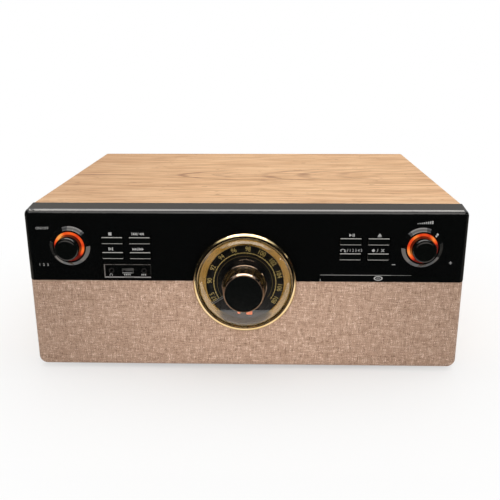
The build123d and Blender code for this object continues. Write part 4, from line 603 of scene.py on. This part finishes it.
def modify(obj, kind, **settings):
    """Adds a modifier and applies it."""
    only(obj)
    change = obj.modifiers.new(kind.lower(), kind)
    for name, value in settings.items():
        setattr(change, name, value)
    bpy.ops.object.modifier_apply(modifier=change.name)
    return obj

def block(name, low, high, made=None):
    """A box between two corners."""
    fresh()
    middle = [(a + b) / 2 for a, b in zip(low, high)]
    bpy.ops.mesh.primitive_cube_add(size=1, location=middle, scale=[b - a for a, b in zip(low, high)])
    return settle(named(name, made))

def disc(name, radius, x, y, z, count=96, made=None, fill="NGON"):
    """A disc or ring of points that faces the front."""
    fresh()
    bpy.ops.mesh.primitive_circle_add(vertices=count, radius=radius, fill_type=fill, location=(x, y, z),
                                      rotation=(math.radians(90), 0, 0))
    obj = settle(named(name, made))
    only(obj)
    bpy.ops.object.mode_set(mode="EDIT")
    bpy.ops.mesh.select_mode(type="VERT")
    bpy.ops.object.mode_set(mode="OBJECT")
    return obj

# %% [markdown]
# ## The grille cloth
# The cloth is a coarse two-tone linen, pulled tight over the speaker board and glued behind it. It is
# modelled as the sheet it is: the front of a box with rounded edges, cut out around the dial, and given the
# cloth's own thickness. The weave is in metres on its own flat layout, so that the threads run straight and
# the same size round the corners.

# %% Grille cloth
cloth_low, cloth_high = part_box("grille_cloth")
CLOTH_THICKNESS = 0.8 * MM
CLOTH_CORNER = 9.5 * MM
CLOTH_ROUND = 5 * MM
CLOTH_WRAP = 8 * MM           # how far it reaches back round the board
NOTCH_RADIUS = 54.8 * MM

cloth = block("linen_cloth", cloth_low, cloth_high)
corners = pick(cloth, "EDGE", lambda a, b: abs(a.x - b.x) < 1e-6 and abs(a.z - b.z) < 1e-6 and a.z < 0.05)
bpy.ops.mesh.bevel(offset=CLOTH_CORNER, segments=10, affect="EDGES")
bpy.ops.object.mode_set(mode="OBJECT")
rim = pick(cloth, "EDGE", lambda a, b: a.y < cloth_low.y + 1e-6 and b.y < cloth_low.y + 1e-6
           and min(a.z, b.z) < cloth_high.z - 1e-5)
bpy.ops.mesh.bevel(offset=CLOTH_ROUND, segments=7, affect="EDGES", clamp_overlap=False)
bpy.ops.object.mode_set(mode="OBJECT")
print("cloth edges", corners, rim, "faces", len(cloth.data.polygons))
board_back = cloth_low.y + CLOTH_THICKNESS + CLOTH_WRAP
only(cloth)
bpy.ops.object.mode_set(mode="EDIT")
bpy.ops.mesh.select_all(action="SELECT")
bpy.ops.mesh.bisect(plane_co=(0, board_back, 0), plane_no=(0, 1, 0))
bpy.ops.object.mode_set(mode="OBJECT")
pick(cloth, "FACE", lambda c, n: n.y > 0.9 or (n.z > 0.9 and c.y > board_back))
bpy.ops.mesh.delete(type="FACE")
done(cloth, 50)
only(cloth)
bpy.ops.object.mode_set(mode="EDIT")
bpy.ops.mesh.select_all(action="SELECT")
bpy.ops.uv.cube_project(cube_size=1.0, correct_aspect=False, scale_to_bounds=False)
bpy.ops.object.mode_set(mode="OBJECT")
modify(cloth, "SOLIDIFY", thickness=CLOTH_THICKNESS, offset=-1, use_even_offset=True)

fresh()
bpy.ops.mesh.primitive_cylinder_add(vertices=160, radius=NOTCH_RADIUS, depth=0.2, location=(0, FRONT, DIAL_Z),
                                    rotation=(math.radians(90), 0, 0))
cutter = settle(named("notch_cutter"))
modify(cloth, "BOOLEAN", operation="DIFFERENCE", object=cutter, solver="EXACT")
bpy.data.objects.remove(cutter)
done(cloth, 50)
area = sum(face.area for face in cloth.data.polygons) / 2
print("cloth area", round(area, 4))
across = [loop.uv.x for loop in cloth.data.uv_layers[0].data]
print("cloth layout", round(min(across), 4), round(max(across), 4))

# %% Linen
THREAD = 0.95 * MM            # from one thread to the next

def linen(name):
    """Plain weave in metres: each crossing shows one thread, and each thread has its own colour along it."""
    made, tree, shader = finish(name, "a58c7a", 0.9, Specular_IOR_Level=0.25, Sheen_Weight=0.15)
    flat = add(tree, "ShaderNodeTexCoord").outputs["UV"]
    parts = add(tree, "ShaderNodeSeparateXYZ", {0: scaled(tree, flat, (1 / THREAD, 1 / THREAD, 1))}).outputs
    across = parts["X"]
    up = parts["Y"]
    column = math_node(tree, "FLOOR", across)
    row = math_node(tree, "FLOOR", up)
    over = math_node(tree, "FLOORED_MODULO", math_node(tree, "ADD", column, row), 2.0)
    rounds = []
    for way in (across, up):
        wave = math_node(tree, "SINE", math_node(tree, "MULTIPLY", way, math.pi))
        rounds.append(math_node(tree, "ABSOLUTE", wave))
    warp_at = add(tree, "ShaderNodeCombineXYZ", {0: math_node(tree, "MULTIPLY", column, 5.17),
                                                 1: math_node(tree, "MULTIPLY", up, 0.09)}).outputs[0]
    weft_at = add(tree, "ShaderNodeCombineXYZ", {0: math_node(tree, "MULTIPLY", across, 0.09), 2: 4.0,
                                                 1: math_node(tree, "MULTIPLY", row, 7.31)}).outputs[0]
    tones = []
    for where in (warp_at, weft_at):
        tone = noise(tree, where, 1.0, 3.0, 0.75)
        tones.append(ramp(tree, tone, [(0.33, "765a46"), (0.45, "a98974"), (0.56, "c3a38d"), (0.68, "efd3bf")]))
    woven = blend_colour(tree, over, tones[1], tones[0])
    height = math_node(tree, "ADD", math_node(tree, "MULTIPLY", over, rounds[0]),
                       math_node(tree, "MULTIPLY", math_node(tree, "SUBTRACT", 1.0, over), rounds[1]))
    gap = fit(tree, height, 0.0, 0.5, 0.6, 0.0)
    tree.links.new(blend_colour(tree, gap, woven, paint("5c4636")), shader.inputs["Base Color"])
    relief(tree, shader, height, 0.0003, 0.7)
    return made

cloth.data.materials.clear()
cloth.data.materials.append(linen("linen"))
lit_by_spot.objects.link(cloth)
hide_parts("grille_cloth")
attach(cloth, "cabinet")

# %% [markdown]
# ## The dial
# Under the lens is a black plate with a gold scale, and round it a plated cone with fine ribs, like pleated
# foil. The ribs are modelled: a ring is drawn out into a cone, and every second point of it is lifted by a
# fifth of a millimetre. They start low, because the pointer turns a millimetre in front of the plate and
# passes over them. The print is a real layer a few hundredths of a millimetre thick, so it stands on the
# plate as ink does.

# %% Ribbed ring
plate_low, plate_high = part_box("dial_plate")
PLATE_FACE = plate_low.y
RIB_INNER = plate_high.x + 0.5 * MM
RIB_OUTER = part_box("dial_reflector")[1].x - 1.0 * MM
RIBS = 240
RIB_LIFT = 0.2 * MM
RIB_STAND = 0.25 * MM
RIB_RISE = 3.0 * MM
SKIN = 0.1 * MM

def round_scale(factor, y=0.0):
    """Scales what is chosen about the dial's axis."""
    bpy.ops.transform.resize(value=(factor, 1, factor), center_override=(0, y, DIAL_Z))

ribs = disc("reflector_ribs", RIB_INNER, 0, PLATE_FACE - RIB_STAND, DIAL_Z, 2 * RIBS, rib_gold, "NOTHING")
only(ribs)
bpy.ops.object.mode_set(mode="EDIT")
bpy.ops.mesh.select_all(action="SELECT")
bpy.ops.mesh.extrude_region_move(TRANSFORM_OT_translate={"value": (0, -RIB_RISE, 0)})
round_scale(RIB_OUTER / RIB_INNER)
bpy.ops.object.mode_set(mode="OBJECT")

def on_ridge(point):
    turn = math.degrees(math.atan2(point.x, point.z - DIAL_Z)) % 360
    return round(turn * RIBS / 180) % 2 == 0

lifted = pick(ribs, "VERT", on_ridge)
bpy.ops.transform.translate(value=(0, -RIB_LIFT, 0))
bpy.ops.object.mode_set(mode="OBJECT")
done(ribs, 10)
modify(ribs, "SOLIDIFY", thickness=SKIN, offset=0)
done(ribs, 10)
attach(ribs, "cabinet")
print("ribs", lifted, "faces", len(ribs.data.polygons))

# %% Scale
INK = 0.06 * MM
START, END = -125, 125        # degrees clockwise from the top, as all angles on the scale
FIRST_STATION, LAST_STATION = 87.5, 108.0
FIRST_ANGLE, SCALE_SWEEP = -116, 237
NUMBER_SIZE = 7.6 * MM
NUMBER_RADIUS = 38.6 * MM

def clock(point):
    """Degrees clockwise from the top, from -180 to 180."""
    return math.degrees(math.atan2(point.x, point.z - DIAL_Z))

def station_angle(value):
    return FIRST_ANGLE + (value - FIRST_STATION) / (LAST_STATION - FIRST_STATION) * SCALE_SWEEP

def ring_band(name, inner, outer, made, first=-180, last=180, count=180):
    """A flat printed band between two radii, from one angle to another."""
    band = disc(name, inner, 0, PLATE_FACE - INK, DIAL_Z, count, made, "NOTHING")
    if last - first < 360:
        pick(band, "VERT", lambda p: not first <= clock(p) <= last)
        bpy.ops.mesh.delete(type="VERT")
    only(band)
    bpy.ops.object.mode_set(mode="EDIT")
    bpy.ops.mesh.select_all(action="SELECT")
    bpy.ops.mesh.extrude_region_move()
    round_scale(outer / inner)
    bpy.ops.mesh.select_all(action="SELECT")
    bpy.ops.mesh.extrude_region_move(TRANSFORM_OT_translate={"value": (0, INK, 0)})
    return done(band)

def turned_mark(obj, angle):
    """Turns it clockwise about the dial's axis."""
    axis = Matrix.Translation((0, 0, DIAL_Z))
    turn = Matrix.Rotation(math.radians(angle), 4, "Y")
    obj.matrix_world = axis @ turn @ axis.inverted() @ obj.matrix_world
    return settle(obj)

def join(name, objs):
    fresh()
    for obj in objs:
        obj.select_set(True)
    bpy.context.view_layer.objects.active = objs[0]
    bpy.ops.object.join()
    return named(name)

def lettering(name, body, size, x, y, z, made, narrow=0.8, thin=0.0):
    """Text that faces the front, as a mesh, its middle at x, z and its back at y; thin slims its strokes."""
    fresh()
    bpy.ops.object.text_add()
    text = bpy.context.object
    text.data.body = body
    text.data.size = size
    text.data.align_x = "CENTER"
    text.data.align_y = "CENTER"
    text.data.extrude = INK / 2
    text.data.offset = -thin * size
    text.data.resolution_u = 3
    bpy.ops.object.convert(target="MESH")
    text = named(name, made)
    text.scale = (narrow, 1, 1)
    settle(text)
    text.rotation_euler = (math.radians(90), 0, 0)
    settle(text)
    text.location = (x, y - INK / 2, z)
    settle(text)
    only(text)
    bpy.ops.object.mode_set(mode="EDIT")
    bpy.ops.mesh.select_all(action="SELECT")
    bpy.ops.mesh.remove_doubles(threshold=0.000001)
    bpy.ops.mesh.normals_make_consistent(inside=False)
    bpy.ops.object.mode_set(mode="OBJECT")
    return text

scale_line = ring_band("scale_line", 34.05 * MM, 34.45 * MM, gold_ink, START, END)
inner_line = ring_band("inner_line", 30.3 * MM, 30.7 * MM, dim_ink, START, END)

marks = []
for step in range(42):
    even = step % 4 == 1 or step == 0
    low = 33.2 if even else 33.7
    mark = block("tick", (-0.15 * MM, PLATE_FACE - INK, DIAL_Z + low * MM),
                 (0.15 * MM, PLATE_FACE, DIAL_Z + 35.1 * MM), gold_ink)
    marks.append(turned_mark(mark, station_angle(FIRST_STATION + step / 2)))
ticks = join("scale_ticks", marks)

numbers = []
for value in [FIRST_STATION] + list(range(90, 109, 2)):
    word = lettering("number", f"{value:g}", NUMBER_SIZE, 0, PLATE_FACE, DIAL_Z + NUMBER_RADIUS, gold_ink, 0.84,
                     0.02)
    numbers.append(turned_mark(word, station_angle(value)))
numbers = join("scale_numbers", numbers)
for piece in (scale_line, inner_line, ticks, numbers):
    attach(piece, "cabinet")
print("scale", len(numbers.data.polygons), "faces")

# %% Dial lamps
lamp_amber, tree, shader = finish("lamp_amber", "d8602c", 0.4, Emission_Strength=0.75)
glowing = noise(tree, place(tree), 900, 2)
tree.links.new(ramp(tree, glowing, [(0.35, "c24a22"), (0.65, "f08a4a")]), shader.inputs["Emission Color"])
LAMPS = ((-8.4, -5.1, 71.4, 74.6), (1.6, 8.2, 70.4, 74.8))   # left, right, low and high, in millimetres
lamps = []
for left, right, low, high in LAMPS:
    lamp = block("lamp", (left * MM, PLATE_FACE - 0.4 * MM, low * MM), (right * MM, PLATE_FACE, high * MM),
                 lamp_amber)
    pick(lamp, "EDGE", lambda a, b: abs(a.x - b.x) < 1e-7 and abs(a.z - b.z) < 1e-7)
    bpy.ops.mesh.bevel(offset=1.2 * MM, segments=5, affect="EDGES")
    bpy.ops.object.mode_set(mode="OBJECT")
    lamps.append(done(lamp))
lamps = join("dial_lamps", lamps)
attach(lamps, "cabinet")

# %% Pointer lines, painted edge highlights
pointer_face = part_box("dial_pointer")[0].y
POINTER_ANGLE = -124
strips = []
# Two light strips along the clear pointer's edges are painted highlights, where its edges catch the light.
for middle in (-0.95, 0.95):
    strip = block("strip", ((middle - 0.2) * MM, pointer_face - 0.05 * MM, DIAL_Z + 6 * MM),
                  ((middle + 0.2) * MM, pointer_face, DIAL_Z + 43.8 * MM), white_ink)
    strips.append(turned_mark(strip, POINTER_ANGLE))
strips = join("pointer_edge_highlights", strips)
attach(strips, "tuning")
nodes["dial_lens"].visible_shadow = False
nodes["dial_pointer"].visible_shadow = False
print("dial done")

# %% [markdown]
# ## The side knobs
# Source on the left, volume on the right: turned black caps on a shaft, each in a raised collar with a ring
# of light. The cap is grown from a circle, ring by ring, which is how its section would be read off a lathe
# drawing.

# %% Side knobs
def turned(name, profile, x, z, made, count=96, closed=False):
    """Grows a turned piece from a circle: each step of the profile is a radius and a place along y."""
    radius, y = profile[0]
    obj = disc(name, radius, x, y, z, count, made, "NOTHING")
    only(obj)
    bpy.ops.object.mode_set(mode="EDIT")
    bpy.ops.mesh.select_all(action="SELECT")
    for next_radius, next_y in profile[1:]:
        bpy.ops.mesh.extrude_region_move(TRANSFORM_OT_translate={"value": (0, next_y - y, 0)})
        factor = next_radius / radius
        bpy.ops.transform.resize(value=(factor, 1, factor), center_override=(x, next_y, z))
        radius, y = next_radius, next_y
    if closed:
        return obj
    bpy.ops.mesh.edge_face_add()
    bpy.ops.mesh.select_all(action="DESELECT")
    bpy.ops.mesh.select_non_manifold()
    bpy.ops.mesh.edge_face_add()
    return obj

def arc_points(radius, y, turn, first, last, steps=5):
    """Points of a rounded edge, the middle of its rounding at radius, y."""
    points = []
    for step in range(steps + 1):
        angle = math.radians(first + (last - first) * step / steps)
        points.append((radius + turn * math.cos(angle), y - turn * math.sin(angle)))
    return points

for name in ("source_knob", "volume_knob"):
    low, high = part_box(name)
    x = (low.x + high.x) / 2
    base, face = FRONT + 1.0 * MM, low.y
    round_edge = 2.0 * MM
    profile = [(3.0 * MM, high.y), (3.0 * MM, base), (12.7 * MM, base)]
    profile += [(13.5 * MM, base - 0.8 * MM), (13.45 * MM, FRONT - 2 * MM)]
    profile += arc_points(12.9 * MM - round_edge, face + round_edge, round_edge, 0, 90)
    profile += [(10.4 * MM, face + 0.1 * MM), (9.9 * MM, face + 0.35 * MM), (5.0 * MM, face + 0.5 * MM)]
    knob = turned(name + "_cap", profile, x, KNOB_Z, knob_black)
    done(knob, 30)
    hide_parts(name)
    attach(knob, name)
    print(knob.name, len(knob.data.polygons), "faces")

# %% [markdown]
# ## The keys
# Eight equal keys, each a cap with rounded edges, a lip that keeps it behind the front, and a stem to its
# switch. On the real keys the upper and lower edges are bare metal strips. Here they are light grey paint on
# the bevels and two flat strips on the front, which stands for the metal and paints its highlight; the lower
# strip is thinner, where it catches less light. One key is modelled, and the others are copies with a mesh of
# their own, each on the body of its own key.

# %% Keys
KEY_CAP = (23.4 * MM, 7.9 * MM)
KEY_LIP_EXTRA = 1.0 * MM
KEY_LIP_DEPTH = 1.5 * MM
KEY_STEM = 3.4 * MM
KEY_CORNER = 0.7 * MM
KEY_ROUND = 0.9 * MM
KEYS = ["key_stop", "key_skip_back", "key_mode", "key_skip_forward", "key_play", "key_eject", "key_repeat",
        "key_record"]

def grow(steps, x, z):
    """Extrudes the chosen face back: each step is a width factor, a height factor and a way along y."""
    for wide, tall, along in steps:
        bpy.ops.mesh.extrude_region_move(TRANSFORM_OT_translate={"value": (0, along, 0)})
        bpy.ops.transform.resize(value=(wide, 1, tall), center_override=(x, 0, z))

first_low, first_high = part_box(KEYS[0])
first_x = (first_low.x + first_high.x) / 2
first_z = (first_low.z + first_high.z) / 2
lip_front = FRONT + 3.0 * MM
key = block("key", (first_x - KEY_CAP[0] / 2, first_low.y, first_z - KEY_CAP[1] / 2),
            (first_x + KEY_CAP[0] / 2, lip_front, first_z + KEY_CAP[1] / 2), knob_black)
key.data.materials.append(silver_trim_highlight)
pick(key, "FACE", lambda c, n: n.y > 0.9)
wide = 1 + 2 * KEY_LIP_EXTRA / KEY_CAP[0]
tall = 1 + 2 * KEY_LIP_EXTRA / KEY_CAP[1]
lip = (wide, tall, 0)
lip_back = (1, 1, KEY_LIP_DEPTH)
stem = (KEY_STEM / (KEY_CAP[0] * wide), KEY_STEM / (KEY_CAP[1] * tall), 0)
stem_back = (1, 1, first_high.y - lip_front - KEY_LIP_DEPTH)
grow([lip, lip_back, stem, stem_back], first_x, first_z)
bpy.ops.object.mode_set(mode="OBJECT")
pick(key, "EDGE", lambda a, b: abs(a.x - b.x) < 1e-7 and abs(a.z - b.z) < 1e-7 and min(a.y, b.y) < FRONT)
bpy.ops.mesh.bevel(offset=KEY_CORNER, segments=3, affect="EDGES")
bpy.ops.object.mode_set(mode="OBJECT")
pick(key, "EDGE", lambda a, b: max(a.y, b.y) < first_low.y + 1e-6)
bpy.ops.mesh.bevel(offset=KEY_ROUND, segments=4, affect="EDGES", clamp_overlap=False)
bpy.ops.object.mode_set(mode="OBJECT")
done(key, 40)
strips = 0
for face in key.data.polygons:
    if abs(face.normal.z) > 0.25 and face.normal.y < -0.1 and face.center.y < FRONT:
        face.material_index = 1
        strips += 1
trims = [key]
# Two flat light grey strips on the front: a painted highlight along the top edge, and a thinner one along the
# bottom.
half = KEY_CAP[0] / 2 - 0.5 * MM
for top, tall in ((KEY_CAP[1] / 2 - 0.1 * MM, 0.95 * MM), (-KEY_CAP[1] / 2 + 0.75 * MM, 0.5 * MM)):
    trims.append(block("trim", (first_x - half, first_low.y, first_z + top - tall),
                       (first_x + half, first_low.y + 0.6 * MM, first_z + top), silver_trim_highlight))
key = join("key", trims)
print("key faces", len(key.data.polygons), "metal", strips)

for name in KEYS:
    low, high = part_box(name)
    only(key)
    bpy.ops.object.duplicate()
    copy = bpy.context.object
    copy.name = copy.data.name = name + "_cap"
    copy.location = ((low.x + high.x) / 2 - first_x, 0, (low.z + high.z) / 2 - first_z)
    settle(copy)
    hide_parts(name)
    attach(copy, name)
bpy.data.objects.remove(key)
print("keys", len(KEYS))

# %% [markdown]
# ## The bezel
# The gold ring round the dial is a turned and plated part. Its outer side runs straight out from the front
# and rolls over in a wide quarter round to a crisp inner edge, which is what gives it one broad highlight.

# %% Bezel
def turned_ring(name, profile, x, z, made, count=160):
    """A turned piece whose section is a closed outline of radii and places along y."""
    obj = turned(name, profile + profile[:1], x, z, made, count, closed=True)
    return done(obj, 30)

bezel_low, bezel_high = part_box("dial_bezel")
crest = bezel_low.y
ROLL_FROM = 52.7 * MM         # the radius where the quarter round starts
ROLL_WIDE = 4.3 * MM
ROLL_DEEP = 4.6 * MM
SPIGOT = 54.5 * MM            # the radius of the part that enters the front
ROLL_STEPS = 12
section = [(51.5 * MM, bezel_high.y), (51.5 * MM, crest + 1.3 * MM), (51.9 * MM, crest + 0.5 * MM),
           (52.4 * MM, crest + 0.12 * MM)]
for step in range(ROLL_STEPS + 1):
    angle = math.radians(90 - 90 * step / ROLL_STEPS)
    section.append((ROLL_FROM + ROLL_WIDE * math.cos(angle), crest + ROLL_DEEP - ROLL_DEEP * math.sin(angle)))
section += [(ROLL_FROM + ROLL_WIDE, FRONT), (SPIGOT, FRONT), (SPIGOT, bezel_high.y)]
bezel = turned_ring("dial_bezel_ring", section, 0, DIAL_Z, gold)
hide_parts("dial_bezel")
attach(bezel, "cabinet")
print("bezel", len(bezel.data.polygons), "faces")

# %% [markdown]
# ## The tuning knob
# A hollow turned shell with a stepped skirt. The rim of its face is a steep chamfer with softened edges,
# which holds one long highlight at the top; a black disc sits inside the rim. Its outline is read in steps of
# a radius and a distance in millimetres, from the face back and then from the skirt's rear edge forward.

# %% Tuning knob
low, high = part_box("tuning_knob")
face, base = low.y, high.y
FACE_STEPS = ((3.0, 2.4), (19.9, 2.4), (19.9, 0.6), (20.1, 0.1), (20.3, 0.0), (20.6, 0.1), (20.75, 0.25),
              (21.9, 2.2), (22.05, 2.6), (22.3, 5.0), (21.8, 5.6), (22.9, 16.0), (22.5, 16.6))
SKIRT_STEPS = ((23.9, 3.4), (24.5, 2.8), (24.5, 0.5), (24.0, 0.0), (22.3, 0.0))
WALL_BACK = face + 5 * MM
HUB_BACK = base - 1 * MM
section = [(radius * MM, face + deep * MM) for radius, deep in FACE_STEPS]
section += [(radius * MM, base - up * MM) for radius, up in SKIRT_STEPS]
section += [(19.8 * MM, WALL_BACK), (6.0 * MM, WALL_BACK), (6.0 * MM, HUB_BACK), (3.0 * MM, HUB_BACK)]
shell = turned_ring("tuning_knob_shell", section, 0, DIAL_Z, knob_gold)
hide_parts("tuning_knob")
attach(shell, "tuning")
print("tuning knob", len(shell.data.polygons), "faces")

# %% [markdown]
# ## Printed marks
# Small light marks are screen printed above the keys and round the knobs. They are plain signs: a square for
# stop, arrows for skip, bars and arrows for play and eject, a dot for record. Each mark is a thin layer of
# ink, and its place is given in millimetres.

# %% Marks
marks = []

def flat_mark(obj):
    """Gives the chosen flat face the thickness of ink and keeps it."""
    only(obj)
    bpy.ops.object.mode_set(mode="EDIT")
    bpy.ops.mesh.select_all(action="SELECT")
    bpy.ops.mesh.extrude_region_move(TRANSFORM_OT_translate={"value": (0, INK, 0)})
    marks.append(done(obj))

def bar(x, z, wide, tall, lean=0, face=FRONT):
    """A bar or square, its middle at x, z in millimetres."""
    made = block("bar", (-wide / 2 * MM, -INK, -tall / 2 * MM), (wide / 2 * MM, 0, tall / 2 * MM), white_ink)
    made.rotation_euler = (0, math.radians(lean), 0)
    made.location = (x * MM, face, z * MM)
    marks.append(settle(made))

def arrow(x, z, wide, tall, way):
    """A solid triangle; way is its turn clockwise from pointing up."""
    made = disc("arrow", 1.0, 0, 0, 0, 3, white_ink)
    long, short = (tall, wide) if way % 180 == 0 else (wide, tall)
    made.scale = (short / math.sqrt(3) * MM, 1, long / 1.5 * MM)
    settle(made)
    made.location = (0, 0, -long / 6 * MM)
    settle(made)
    made.rotation_euler = (0, math.radians(way), 0)
    settle(made)
    made.location = (x * MM, FRONT - INK, z * MM)
    flat_mark(settle(made))

def dot(x, z, radius, face=FRONT):
    flat_mark(disc("dot", radius * MM, x * MM, face - INK, z * MM, 24, white_ink))

def hoop(x, z, radius, line, face=FRONT, wide=1.0, first=-180, last=180):
    """A printed ring or arc; wide stretches it sideways."""
    made = disc("hoop", radius * MM, 0, 0, 0, 48, white_ink, "NOTHING")
    if last - first < 360:
        pick(made, "VERT", lambda p: not first <= math.degrees(math.atan2(p.x, p.z)) <= last)
        bpy.ops.mesh.delete(type="VERT")
    only(made)
    bpy.ops.object.mode_set(mode="EDIT")
    bpy.ops.mesh.select_all(action="SELECT")
    bpy.ops.mesh.extrude_region_move()
    factor = 1 - line / radius
    bpy.ops.transform.resize(value=(factor, 1, factor), center_override=(0, 0, 0))
    bpy.ops.object.mode_set(mode="OBJECT")
    made.scale = (wide, 1, 1)
    settle(made)
    made.location = (x * MM, face - INK, z * MM)
    flat_mark(settle(made))

def figures(body, x, z, size, narrow=0.85, face=FRONT):
    marks.append(lettering("figures", body, size * MM, x * MM, face, z * MM, white_ink, narrow))

bar(-146.6, 163.0, 3.4, 3.4)                                   # stop
for start in (-122.4, -114.6):                                 # skip back, search back
    arrow(start + 1.3, 163.0, 2.5, 3.3, 270)
    arrow(start + 3.8, 163.0, 2.5, 3.3, 270)
bar(-122.6, 163.0, 0.6, 3.3)
bar(-116.0, 163.0, 0.5, 3.6, 20)
for start in (-123.0, -115.4):                                 # skip forward, search forward
    arrow(start + 1.3, 145.7, 2.5, 3.3, 90)
    arrow(start + 3.8, 145.7, 2.5, 3.3, 90)
bar(-117.6, 145.7, 0.6, 3.3)
bar(-116.4, 145.7, 0.5, 3.6, 20)
for step, height in enumerate((3.4, 2.4, 3.4)):                # mode
    bar(-148.6 + 1.9 * step, 145.9, 1.1, height)
arrow(114.4, 162.7, 3.0, 3.4, 90)                              # play, pause
bar(116.8, 162.7, 0.8, 3.4)
bar(118.2, 162.7, 0.8, 3.4)
arrow(145.6, 163.5, 4.2, 2.6, 0)                               # eject
bar(145.6, 161.2, 4.2, 0.8)
hoop(106.6, 145.5, 1.7, 0.6, wide=1.7, first=-150, last=150)   # repeat
arrow(108.9, 144.0, 1.4, 1.6, 270)
bar(111.6, 145.5, 0.5, 3.6, 20)
figures("1 2 3 4 5", 120.6, 145.5, 4.6)
dot(139.6, 145.6, 1.6)                                         # record, erase
bar(144.0, 145.6, 0.5, 3.6, 20)
for lean in (-45, 45):
    bar(149.6, 145.6, 4.4, 0.8, lean)
figures("ON/OFF", -220.6, 169.0, 4.2, 0.95)
figures("1  2  3", -222.4, 127.2, 4.2, 1.0)                    # sources
for step in range(8):                                          # volume
    bar(185.6 + 2.2 * step, 175.5 + 0.2 * (step + 1.6), 1.3, 0.4 * (step + 1.6))
bar(162.2, 129.6, 3.7, 0.7)
bar(223.5, 132.0, 3.4, 0.6)
bar(223.5, 132.0, 0.6, 3.4)
RECESS = FRONT + 1.0 * MM                                      # under the sockets
hoop(-148.5, 115.8, 1.3, 0.4, RECESS, 1.1, -120, 120)
bar(-149.8, 115.2, 0.7, 1.1, 0, RECESS)
bar(-147.2, 115.2, 0.7, 1.1, 0, RECESS)
# A painted highlight: a light line along the lower lip of the socket above it.
bar(-130.3, 117.9, 11.0, 0.6, 0, RECESS)
for step in range(4):
    bar(-133.4 + 2.0 * step, 115.9, 1.0, 1.7, 0, RECESS)
for step in range(3):
    bar(-114.1 + 2.0 * step, 115.9, 1.1, 1.7, 0, RECESS)
print("marks", len(marks))
front_marks = join("front_marks", marks)
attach(front_marks, "cabinet")

# %% Drawer sign and painted seam highlight
marks = []
DRAWER_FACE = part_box("cd_drawer")[0].y
hoop(146.9, 112.6, 2.6, 0.8, DRAWER_FACE, 1.9)
hoop(146.9, 112.6, 0.9, 0.35, DRAWER_FACE, 1.9)
# A painted highlight along the drawer's top seam: a light line, thinner towards the right where the light
# fades.
bar(122.0, 116.2, 78.0, 0.4, 0, DRAWER_FACE)
bar(172.0, 116.2, 22.0, 0.2, 0, DRAWER_FACE)
bar(83.4, 110.2, 0.5, 2.4, 0, DRAWER_FACE)
drawer_sign = join("drawer_sign", marks)
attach(drawer_sign, "cd_drawer")
print("drawer face", round(DRAWER_FACE, 4))

# %% [markdown]
# ## Ending
# A piece without faces can't be seen or exported, so it stops the script.

# %% Empty pieces
empty = [o.name for o in bpy.context.scene.objects if o.type == "MESH" and not o.data.polygons]
if empty:
    raise RuntimeError(f"pieces without faces: {empty}")
